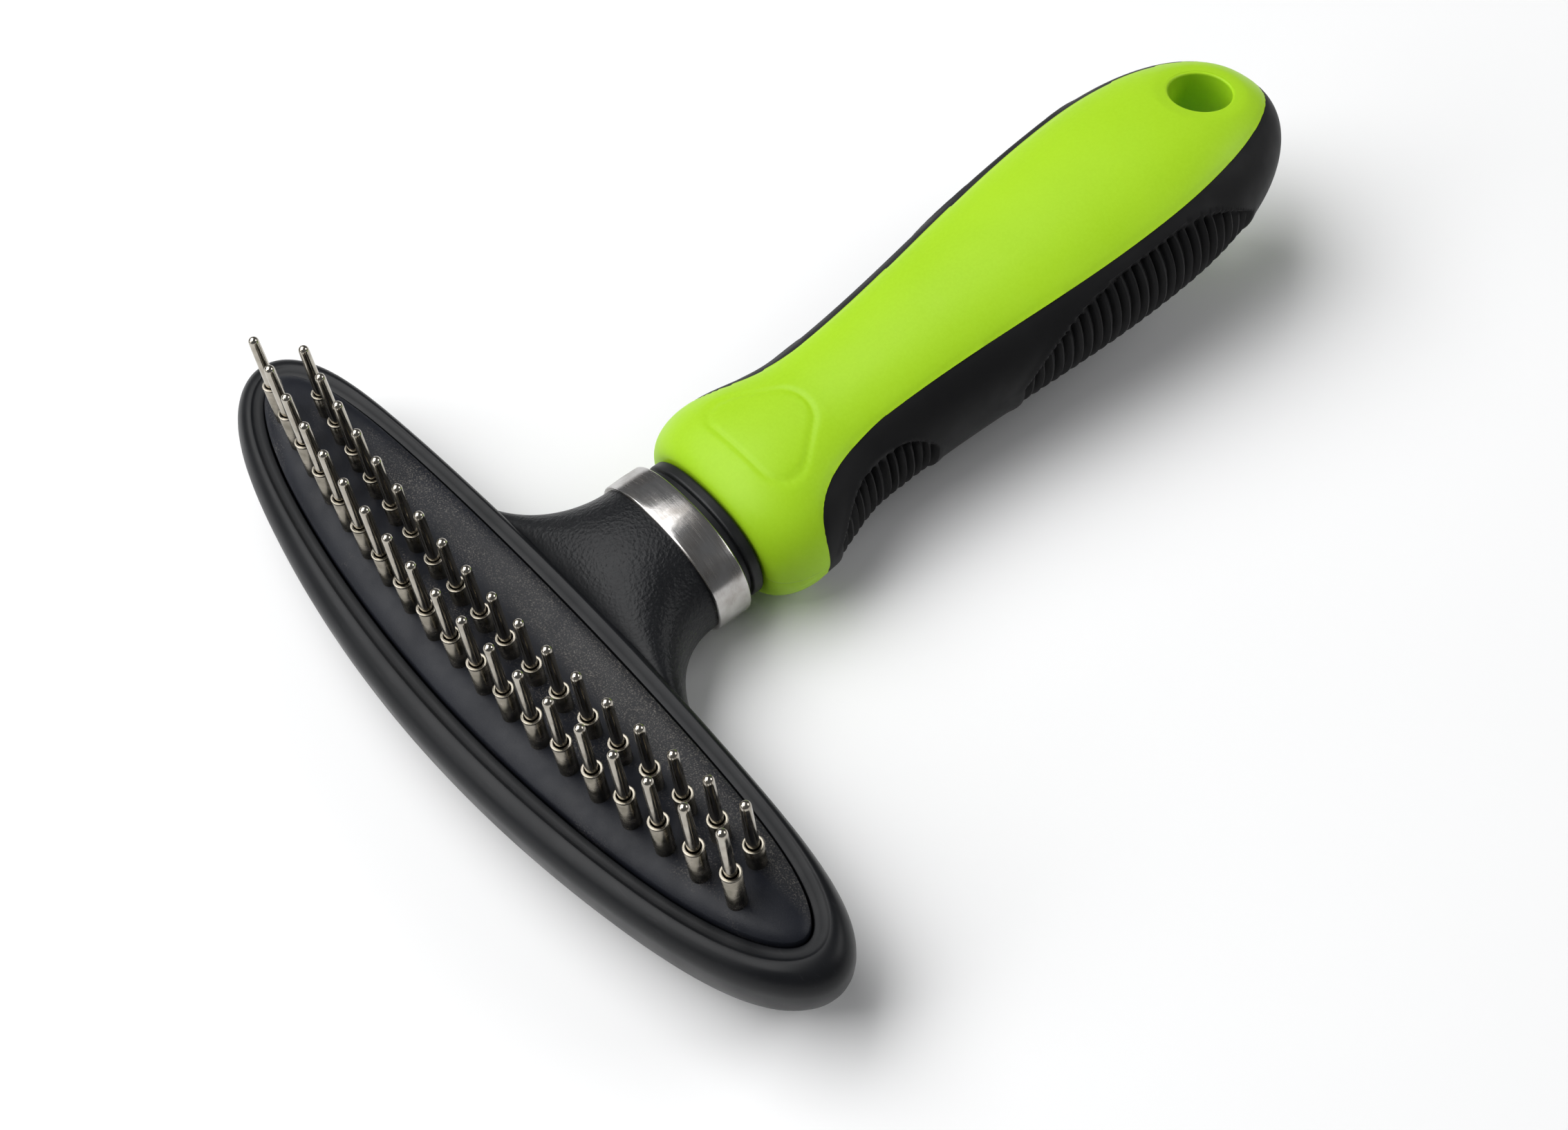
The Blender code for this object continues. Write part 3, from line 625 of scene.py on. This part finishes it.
def hole_distance(grid):
    """Distance from the hang hole's axis, which stands square to the handle's middle line."""
    lean = (grid[..., 2] - handle_mid_z(HANG_HOLE_Y)) * HANDLE_RISE
    return np.hypot(grid[..., 0], grid[..., 1] - HANG_HOLE_Y + lean)


def cover_field(grid, from_top):
    """Positive on green, negative on the grip, roughly the distance to the line between them."""
    x = grid[..., 0]
    y = grid[..., 1]
    wide = handle_half(y, 0)
    unfolded = np.where(from_top <= np.pi / 2, np.abs(x), 2 * wide - np.abs(x))
    side = cover_half(y) - unfolded
    boss = HANG_BOSS_RADIUS - hole_distance(grid)
    return np.maximum(np.maximum(side, COVER_FRONT_Y - y), boss)


def badge_field(grid):
    """About 0 on the badge's border, negative inside: a triangle with bowed sides and round corners."""
    x = grid[..., 0]
    y = grid[..., 1] - BADGE_Y
    total = sum(np.maximum(0, (nx * x + ny * y) / size) ** BADGE_POWER for nx, ny, size in BADGE_SIDES)
    return (total ** (1 / BADGE_POWER) - 1) * BADGE_SCALE


def rib_relief(grid, from_top):
    """Height of the ribbed fields against the plain form: sunk ribs inside a raised border."""
    y = grid[..., 1]
    radius = (handle_half(y, 0) + handle_half(y, 1)) / 2
    relief = np.zeros(y.shape)
    for field in RIB_FIELDS:
        ahead, behind = field["reach"]
        reach = np.where(y < field["peak"], ahead, behind)
        along = (y - field["peak"]) / reach
        top = np.radians(field["top"] + (field["end"] - field["top"]) * np.abs(along) ** FIELD_POWER)
        inside = np.minimum((from_top - top) * radius, (1 - np.abs(along)) * reach)
        mask = smoothstep(inside / FIELD_EDGE)
        turns = field["ribs"] * (y - field["peak"] + ahead) / (ahead + behind)
        ridge = np.abs(np.cos(np.pi * turns)) ** RIB_POWER
        rib_mask = smoothstep((inside - RIB_INSET) / RIB_EASE)
        border = BORDER_RISE * np.exp(-((inside + BORDER_WIDTH / 2) / BORDER_WIDTH) ** 2)
        relief += border * (1 - mask) - FIELD_DEPTH * mask + RIB_HEIGHT * rib_mask * ridge
    return relief


def clipped_cells(field, sign):
    """Polygons of the grid cells where sign * field > 0, cut along the line field = 0.

    Each corner is (i, j, i2, j2, t): the point a share t of the way between two grid points.
    """
    rows, columns = field.shape
    value = field * sign
    polygons = []
    for i in range(rows - 1):
        for j in range(columns):
            n = (j + 1) % columns
            corners = ((i, j), (i, n), (i + 1, n), (i + 1, j))
            values = [value[c] for c in corners]
            if min(values) > 0:
                polygons.append([(*c, *c, 0.0) for c in corners])
                continue
            if max(values) <= 0:
                continue
            polygon = []
            for k in range(4):
                a, b = corners[k], corners[(k + 1) % 4]
                va, vb = values[k], values[(k + 1) % 4]
                if va > 0:
                    polygon.append((*a, *a, 0.0))
                if (va > 0) != (vb > 0):
                    if a > b:
                        polygon.append((*b, *a, vb / (vb - va)))
                    else:
                        polygon.append((*a, *b, va / (va - vb)))
            if len(polygon) > 2:
                polygons.append(polygon)
    return polygons


class PatchBuilder:
    """Collects points and faces from grid polygons on one or more layers."""

    def __init__(self):
        self.points = []
        self.index = {}
        self.faces = []

    def corner(self, layer_name, layer, key):
        full = (layer_name, key[:4])
        if full not in self.index:
            i, j, k, m, t = key
            self.index[full] = len(self.points)
            self.points.append(layer[i, j] * (1 - t) + layer[k, m] * t)
        return self.index[full]

    def add_patch(self, layer_name, layer, polygons):
        for polygon in polygons:
            self.faces.append(tuple(self.corner(layer_name, layer, key) for key in polygon))

    def add_walls(self, names, layers, polygons, skip_rows=()):
        """Joins two layers along the open edges of a patch."""
        seen = {}
        for polygon in polygons:
            for a, b in zip(polygon, polygon[1:] + polygon[:1]):
                edge = frozenset((a[:4], b[:4]))
                seen.setdefault(edge, []).append((a, b))
        for pairs in seen.values():
            if len(pairs) != 1:
                continue
            a, b = pairs[0]
            if a[0] == a[2] and b[0] == b[2] and a[0] == b[0] and a[0] in skip_rows:
                continue
            self.faces.append((self.corner(names[0], layers[0], a), self.corner(names[0], layers[0], b),
                               self.corner(names[1], layers[1], b), self.corner(names[1], layers[1], a)))

    def add_cap(self, layer_name, layer, row):
        count = layer.shape[1]
        keys = [(row, j, row, j, 0.0) for j in range(count)]
        self.faces.append(tuple(self.corner(layer_name, layer, key) for key in keys))

    def build(self, name):
        points = np.array(self.points)
        points[:, 1] += ROW_Y
        return make_object(name, points, self.faces)


def shrunk(grid, amount):
    """The grid drawn in towards the handle's middle line."""
    middle = np.stack([np.zeros(grid.shape[:2]), grid[..., 1], handle_mid_z(grid[..., 1])], axis=2)
    arm = grid - middle
    length = np.linalg.norm(arm, axis=2, keepdims=True)
    drawn = middle + arm * np.maximum(CORE_SHARE, 1 - amount / np.maximum(length, 1e-9))
    past = np.maximum(0, grid[..., 1] - (HANDLE_END - BUTT_LENGTH)) / BUTT_LENGTH
    drawn[..., 1] -= amount * past
    return drawn


def build_handle():
    """The green body and the black grip, cut from one outer form along the line between them."""
    grid, from_top = handle_grid()
    normals = grid_normals(grid)
    field = cover_field(grid, from_top)
    green_side = field > 0
    near_seam = SEAM_DEPTH * np.exp(-(field / SEAM_WIDTH) ** 2)
    on_border = badge_field(grid)
    recess = np.exp(-(on_border / BADGE_GROOVE) ** 2) + BADGE_FLOOR * (on_border < 0)
    badge = BADGE_DEPTH * recess * (from_top < np.pi / 2)
    from_rim = (hole_distance(grid) - HANG_HOLE_RADIUS) / (DISH_RADIUS - HANG_HOLE_RADIUS)
    dish = DISH_DEPTH * (1 - smoothstep(from_rim))
    green_outer = grid - normals * (badge + dish + near_seam * green_side)[..., None]
    grip_relief = rib_relief(grid, from_top)
    grip_outer = grid + normals * (grip_relief - near_seam - GRIP_SINK)[..., None]
    core = shrunk(grid, GRIP_THICKNESS)
    last = len(grid) - 1

    green_cells = clipped_cells(field - GRIP_SEAM / 2, 1)
    core_cells = clipped_cells(field - GRIP_SEAM / 2, -1)
    body = PatchBuilder()
    body.add_patch("outer", green_outer, green_cells)
    body.add_patch("core", core, core_cells)
    body.add_walls(("outer", "core"), (green_outer, core), green_cells, skip_rows=(0,))
    body.add_cap("outer", green_outer, 0)
    body.add_cap("core", core, last)
    shell = body.build("handle_shell")

    grip_cells = clipped_cells(field + GRIP_SEAM / 2, -1)
    inner = shrunk(grid, GRIP_THICKNESS - GRIP_INNER_GAP)
    skin = PatchBuilder()
    skin.add_patch("outer", grip_outer, grip_cells)
    skin.add_patch("inner", inner, grip_cells)
    skin.add_walls(("outer", "inner"), (grip_outer, inner), grip_cells, skip_rows=(last,))
    skin.add_cap("outer", grip_outer, last)
    skin.add_cap("inner", inner, last)
    grip = skin.build("soft_grip")

    boolean(shell, "DIFFERENCE", hole_cutter())
    return shell, grip


def surface_z(x, y, side):
    """Height of the handle's top (side 1) or bottom (side -1) at layout (x, y)."""
    wide = handle_half(y, 0)
    tall = handle_half(y, 1)
    rest = 1 - (np.abs(x) / wide) ** SECTION_POWER
    return handle_mid_z(y) + side * tall * np.maximum(0, rest) ** (1 / SECTION_POWER)


def hole_cutter():
    """A trumpet-ended plug: the hang hole with its two rounded rims."""
    angle = 2 * np.pi * np.arange(HOLE_SIDES) / HOLE_SIDES
    profile = []
    for side in (-1, 1):
        rim = []
        for turn in np.linspace(0, np.pi / 2, ROUNDING_STEPS):
            rim.append((HANG_HOLE_RADIUS + HOLE_ROUNDING * (1 - math.cos(turn)),
                        HOLE_ROUNDING * (math.sin(turn) - 1) - DISH_DEPTH, side))
        rim.append((HANG_HOLE_RADIUS + HOLE_ROUNDING + MOUTH_SPREAD, MOUTH_RISE, side))
        profile += rim[::-1] if side < 0 else rim
    rings = []
    for radius, rise, side in profile:
        x = radius * np.cos(angle)
        y = HANG_HOLE_Y + radius * np.sin(angle)
        z = surface_z(x, y, side) + side * rise
        lean = (z - handle_mid_z(HANG_HOLE_Y)) * HANDLE_RISE
        z = surface_z(x, y - lean, side) + side * rise
        rings.append(np.stack([x, y - lean + ROW_Y, z], axis=1))
    return loft("hole_cutter", rings)


# ---------------------------------------------------------------- materials

def start_material(name, roughness, metallic=0.0, specular=0.5):
    mat = bpy.data.materials.new(name)
    mat.use_nodes = True
    tree = mat.node_tree
    shader = tree.nodes["Principled BSDF"]
    shader.inputs["Roughness"].default_value = roughness
    shader.inputs["Metallic"].default_value = metallic
    shader.inputs["Specular IOR Level"].default_value = specular
    return mat, tree, shader


def input_socket(node, key):
    """An input by its number (i0, i1) or by its name, with _ for a space."""
    if key[0] == "i" and key[1:].isdigit():
        return node.inputs[int(key[1:])]
    return node.inputs[key.replace("_", " ")]


def feed(tree, socket, value):
    """Links a socket to a node's output, or sets it to a constant."""
    if isinstance(value, bpy.types.NodeSocket):
        tree.links.new(value, socket)
    else:
        socket.default_value = value


def add(tree, kind, settings=None, **inputs):
    """A node with its settings, whose inputs are links or constants."""
    made = tree.nodes.new(kind)
    for key, value in (settings or {}).items():
        setattr(made, key, value)
    for key, value in inputs.items():
        feed(tree, input_socket(made, key), value)
    return made


def place(tree, stretch=(1, 1, 1)):
    """Object coordinates, in metres, stretched along the axes."""
    coords = add(tree, "ShaderNodeTexCoord").outputs["Object"]
    return add(tree, "ShaderNodeMapping", Vector=coords, Scale=stretch).outputs["Vector"]


def noise(tree, size, detail=2.0, stretch=(1, 1, 1), rough=0.5):
    """Noise whose cells are about size metres."""
    return add(tree, "ShaderNodeTexNoise", Vector=place(tree, stretch), Scale=1 / size, Detail=detail,
               Roughness=rough).outputs["Fac"]


def spread(tree, value, low, high, to_low=0.0, to_high=1.0):
    """Maps a value from one range to another, held at the ends."""
    return add(tree, "ShaderNodeMapRange", Value=value, From_Min=low, From_Max=high, To_Min=to_low,
               To_Max=to_high).outputs["Result"]


def calc(tree, operation, first, second=0.0):
    return add(tree, "ShaderNodeMath", {"operation": operation}, i0=first, i1=second).outputs[0]


def scaled(tree, value, share):
    return calc(tree, "MULTIPLY", value, share)


def blend_colour(tree, share, first, second):
    """A mix of two colours, each of them three numbers or a link."""
    mix = add(tree, "ShaderNodeMix", {"data_type": "RGBA"}, i0=share)
    for index, colour in zip(MIX_COLOUR_INPUTS, (first, second)):
        linked = isinstance(colour, bpy.types.NodeSocket)
        feed(tree, mix.inputs[index], colour if linked else (*colour, 1))
    return mix.outputs[MIX_COLOUR_OUTPUT]


def mottled(tree, value, first, second):
    """Two close colours, mixed by a noise."""
    return blend_colour(tree, spread(tree, value, *MOTTLE), first, second)


def uneven(tree, size, low, high):
    """Roughness that wanders between two values."""
    return spread(tree, noise(tree, size, 3), *UNEVEN, low, high)


def bumped(tree, shader, layers):
    """Stacks (height, depth in metres) layers into the shader's normal."""
    normal = None
    for height, depth in layers:
        bump = add(tree, "ShaderNodeBump", Height=height, Distance=depth, Strength=1.0)
        if normal:
            tree.links.new(normal, bump.inputs["Normal"])
        normal = bump.outputs["Normal"]
    tree.links.new(normal, shader.inputs["Normal"])


def connect(tree, shader, **sockets):
    """Links outputs to the shader's inputs, named with _ for a space."""
    for key, value in sockets.items():
        tree.links.new(value, shader.inputs[key.replace("_", " ")])


def axis_value(tree, axis):
    """One object coordinate, in metres."""
    coords = add(tree, "ShaderNodeTexCoord").outputs["Object"]
    return add(tree, "ShaderNodeSeparateXYZ", Vector=coords).outputs[axis]


def green_material():
    """Satin lime green: slight mottling, fine moulded texture, a mould line round the neck end."""
    mat, tree, shader = start_material("lime_satin", 0.42, specular=0.2)
    shader.inputs["Subsurface Weight"].default_value = 0.12
    shader.inputs["Subsurface Radius"].default_value = (0.6, 1.0, 0.15)
    shader.inputs["Subsurface Scale"].default_value = 1.2 * MM
    clouds = noise(tree, 22 * MM, 3)
    speckle = noise(tree, 0.55 * MM, 2)
    base = blend_colour(tree, spread(tree, clouds, 0.35, 0.65), LIME_DEEP, LIME)
    tint = blend_colour(tree, spread(tree, speckle, *UNEVEN, 0.0, 0.35), base, LIME_LIGHT)
    height = calc(tree, "SUBTRACT", axis_value(tree, 2), MOULD_LINE_Z)
    line = spread(tree, calc(tree, "ABSOLUTE", height), 0.0, 0.16 * MM, 1, 0)
    cover_front = COVER_FRONT_Y + ROW_Y
    ahead = spread(tree, axis_value(tree, 1), cover_front - 1 * MM, cover_front, 1, 0)
    mould = calc(tree, "MULTIPLY", line, ahead)
    shade = blend_colour(tree, scaled(tree, mould, 0.5), tint, LIME_PALE)
    connect(tree, shader, Base_Color=shade, Roughness=uneven(tree, 6 * MM, 0.36, 0.46))
    grain = noise(tree, 0.32 * MM, 2)
    waves = noise(tree, 4 * MM, 2)
    bumped(tree, shader, ((grain, 0.009 * MM), (waves, 0.02 * MM), (mould, 0.05 * MM)))
    return mat


def grip_material():
    """Soft-touch rubber: matt, with a fine tooth and faint handling marks."""
    mat, tree, shader = start_material("soft_rubber", 0.6, specular=0.16)
    shader.inputs["Sheen Weight"].default_value = 0.04
    shader.inputs["Sheen Roughness"].default_value = 0.5
    marks = spread(tree, noise(tree, 9 * MM, 4), 0.45, 0.75)
    base = blend_colour(tree, marks, RUBBER, RUBBER_WORN)
    dust = spread(tree, noise(tree, 0.16 * MM, 1), 0.7, 0.86)
    tint = blend_colour(tree, scaled(tree, dust, 0.25), base, RUBBER_DUST)
    connect(tree, shader, Base_Color=tint, Roughness=uneven(tree, 5 * MM, 0.5, 0.64))
    tooth = noise(tree, 0.13 * MM, 2)
    waves = noise(tree, 2.2 * MM, 2)
    bumped(tree, shader, ((tooth, 0.006 * MM), (waves, 0.012 * MM)))
    return mat


def head_material():
    """Satin nylon: smooth on the hull, leather grain on the neck."""
    mat, tree, shader = start_material("head_nylon", 0.4, specular=0.2)
    base = mottled(tree, noise(tree, 14 * MM, 3), HEAD_BLACK, HEAD_GREY)
    neck_start = FLARE_Y + ROW_Y
    on_neck = spread(tree, axis_value(tree, 1), neck_start, neck_start + 3 * MM)
    voronoi = add(tree, "ShaderNodeTexVoronoi", {"feature": "SMOOTH_F1"}, Vector=place(tree),
                  Scale=1 / (0.6 * MM), Smoothness=0.6)
    cells = calc(tree, "ADD", voronoi.outputs["Distance"], noise(tree, 0.3 * MM, 2))
    leather = calc(tree, "MULTIPLY", cells, on_neck)
    scuffs = spread(tree, noise(tree, 0.5 * MM, 3, (0.2, 1, 1)), 0.62, 0.75)
    shade = blend_colour(tree, scaled(tree, scuffs, 0.12), base, HEAD_SCUFF)
    connect(tree, shader, Base_Color=shade, Roughness=uneven(tree, 7 * MM, 0.33, 0.43))
    tooth = noise(tree, 0.2 * MM, 2)
    waves = noise(tree, 9 * MM, 2)
    bumped(tree, shader, ((tooth, 0.005 * MM), (leather, 0.07 * MM), (waves, 0.05 * MM)))
    return mat


def plate_material():
    """Moulded plastic with gritty pale scuffs in patches, and a painted highlight behind the rear row: a greyer,
    more scuffed band.
    """
    mat, tree, shader = start_material("plate_nylon", 0.42, specular=0.2)
    base = mottled(tree, noise(tree, 12 * MM, 4), PLATE_BLACK, PLATE_GREY)
    patches = spread(tree, noise(tree, 11 * MM, 4, (0.6, 1.6, 1), 0.6), 0.52, 0.68)
    # painted highlight: a band behind the rear row, greyer and broken up by a noise, where the plate's sloping rim
    # catches the light
    behind = spread(tree, axis_value(tree, 1), *PAINTED_HIGHLIGHT_BAND)
    stretches = spread(tree, noise(tree, 16 * MM, 3, (0.4, 1, 1)), 0.4, 0.6)
    painted_highlight = calc(tree, "MULTIPLY", behind, stretches)
    base = blend_colour(tree, scaled(tree, painted_highlight, 0.6), base, PLATE_HIGHLIGHT_GREY)
    # within that band the scuffs are part of the painted highlight; elsewhere they are real scuffs
    patches = calc(tree, "MAXIMUM", patches, scaled(tree, painted_highlight, 0.85))
    grit = spread(tree, noise(tree, 0.22 * MM, 3, rough=0.7), 0.52, 0.68)
    scuffs = calc(tree, "MULTIPLY", patches, grit)
    shade = blend_colour(tree, scaled(tree, scuffs, 0.75), base, PLATE_SCUFF)
    connect(tree, shader, Base_Color=shade, Roughness=uneven(tree, 3 * MM, 0.36, 0.5))
    tooth = noise(tree, 0.25 * MM, 3)
    waves = noise(tree, 5 * MM, 2)
    bumped(tree, shader, ((tooth, 0.01 * MM), (waves, 0.03 * MM), (grit, 0.006 * MM)))
    return mat


def plain_black_material(name, roughness):
    """Small moulded parts: satin black with a fine tooth and a little mottling."""
    mat, tree, shader = start_material(name, roughness, specular=0.3)
    base = mottled(tree, noise(tree, 3 * MM, 3), HEAD_BLACK, HEAD_GREY)
    rough = uneven(tree, 2 * MM, roughness - 0.06, roughness + 0.06)
    connect(tree, shader, Base_Color=base, Roughness=rough)
    bumped(tree, shader, ((noise(tree, 0.2 * MM, 2), 0.006 * MM),))
    return mat


def steel_material():
    """Polished steel band: soft ripples, fine lines round the band and small smudges."""
    mat, tree, shader = start_material("ferrule_steel", 0.2, 1.0)
    lines = noise(tree, 0.12 * MM, 3, (0.04, 1, 0.04))
    smudge = noise(tree, 3.5 * MM, 4)
    base = mottled(tree, smudge, STEEL, STEEL_WARM)
    smudged = spread(tree, smudge, *MOTTLE, 0.14, 0.24)
    brushed = spread(tree, lines, 0.4, 0.7, 0, 0.08)
    connect(tree, shader, Base_Color=base, Roughness=calc(tree, "ADD", smudged, brushed))
    ripples = noise(tree, 4.5 * MM, 2, (1, 0.4, 1))
    tooth = noise(tree, 0.4 * MM, 2)
    bumped(tree, shader, ((lines, 0.0015 * MM), (ripples, 0.09 * MM), (tooth, 0.003 * MM)))
    return mat


def nickel_material(name, roughness, colour):
    """Bright plating, a little uneven and smudged; the sleeves get a darkened colour, as painted shade."""
    mat, tree, shader = start_material(name, roughness, 1.0)
    smudge = noise(tree, 1.6 * MM, 3)
    base = mottled(tree, smudge, colour, NICKEL_WARM)
    rough = spread(tree, smudge, *MOTTLE, roughness - 0.05, roughness + 0.07)
    connect(tree, shader, Base_Color=base, Roughness=rough)
    ripples = noise(tree, 0.9 * MM, 2, (1, 1, 0.3))
    tooth = noise(tree, 0.1 * MM, 2)
    bumped(tree, shader, ((ripples, 0.004 * MM), (tooth, 0.0006 * MM)))
    return mat



# ---------------------------------------------------------------- assembly

def finish_piece(obj, body, mat, node):
    """Gives a piece its material and its body, and hides the CAD node it stands for."""
    obj.data.materials.clear()
    obj.data.materials.append(mat)
    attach(obj, body)
    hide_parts(node)


def assemble_teeth():
    """One sleeve on the tool and one pin on its own body for every hinge."""
    # the sleeves' darker nickel is painted shade, a shaded copy of the pins' plating
    shaded_sleeve_mat = nickel_material("sleeve_nickel", 0.24, SHADED_SLEEVE_NICKEL)
    pin_mat = nickel_material("pin_nickel", 0.15, NICKEL)
    for joint in frame["joints"]:
        row, number = joint["name"].split("_")[1:]
        x, y, mouth = JOINTS[joint["name"]]
        node = f"pin_{row}_{number}"
        low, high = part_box(node)
        sleeve = build_sleeve(f"sleeve_{row}_{number}", x, y, mouth)
        finish_piece(sleeve, ROOT, shaded_sleeve_mat, f"sleeves_{row}")
        pin = build_pin(f"round_{node}", x, y, low[2], mouth, high[2])
        finish_piece(pin, joint["child"], pin_mat, node)


def assemble():
    finish_piece(build_head(), ROOT, head_material(), "head_shell")
    finish_piece(build_plate(), ROOT, plate_material(), "tooth_plate")
    finish_piece(build_ferrule(), ROOT, steel_material(), "ferrule")
    collar_mat = plain_black_material("collar_nylon", 0.45)
    finish_piece(build_collar(), ROOT, collar_mat, "neck_collar")
    shell, grip = build_handle()
    finish_piece(shell, ROOT, green_material(), "handle_body")
    finish_piece(grip, ROOT, grip_material(), "handle_grip")
    assemble_teeth()
    retainer = frame["nodes"]["pin_retainer"]
    retainer.data.materials.clear()
    retainer.data.materials.append(plain_black_material("retainer_nylon", 0.55))


# ---------------------------------------------------------------- studio

def aim(obj, location, target, roll=0.0):
    """Stands an object at a place, with its -Z towards the target."""
    forward = (target - location).normalized()
    right = forward.cross(Vector((0, 0, 1))).normalized()
    up = right.cross(forward)
    turn = Matrix((right, up, -forward)).transposed() @ Matrix.Rotation(roll, 3, "Z")
    obj.matrix_world = Matrix.Translation(location) @ turn.to_4x4()


def add_camera():
    data = bpy.data.cameras.new("camera")
    data.lens = CAMERA_LENS
    data.sensor_width = SENSOR_WIDTH
    data.clip_start = NEAR_CLIP
    camera = bpy.data.objects.new("camera", data)
    bpy.context.scene.collection.objects.link(camera)
    level = math.cos(CAMERA_ELEVATION)
    direction = Vector((math.sin(CAMERA_AZIMUTH) * level, -math.cos(CAMERA_AZIMUTH) * level,
                        math.sin(CAMERA_ELEVATION)))
    aim(camera, CAMERA_TARGET + direction * CAMERA_DISTANCE, CAMERA_TARGET, CAMERA_ROLL)
    bpy.context.scene.camera = camera


def add_softbox(name, azimuth, elevation, distance, size, watts):
    data = bpy.data.lights.new(name, "AREA")
    data.shape = "RECTANGLE"
    data.size, data.size_y = size
    data.energy = watts
    light = bpy.data.objects.new(name, data)
    bpy.context.scene.collection.objects.link(light)
    a = math.radians(azimuth)
    e = math.radians(elevation)
    direction = Vector((math.sin(a) * math.cos(e), -math.cos(a) * math.cos(e), math.sin(e)))
    aim(light, direction * distance, LIGHT_TARGET)


def add_studio():
    for softbox in SOFTBOXES:
        add_softbox(**softbox)
    world = bpy.data.worlds.new("studio")
    world.use_nodes = True
    background = world.node_tree.nodes["Background"]
    background.inputs["Color"].default_value = WORLD_COLOUR
    background.inputs["Strength"].default_value = WORLD_STRENGTH
    bpy.context.scene.world = world
    low = CAD_BOUNDS[0][2] - FLOOR_GAP
    corners = [(x * FLOOR_HALF, y * FLOOR_HALF, low) for x, y in ((-1, -1), (1, -1), (1, 1), (-1, 1))]
    floor = make_object("floor", corners, [(0, 1, 2, 3)])
    mat, tree, shader = start_material("pale_floor", 0.7, specular=0.2)
    connect(tree, shader, Base_Color=blend_colour(tree, noise(tree, FLOOR_CLOUDS, 2), *FLOOR_TINTS))
    floor.data.materials.append(mat)
    bpy.context.scene.view_settings.view_transform = "Standard"


assemble()
add_camera()
add_studio()
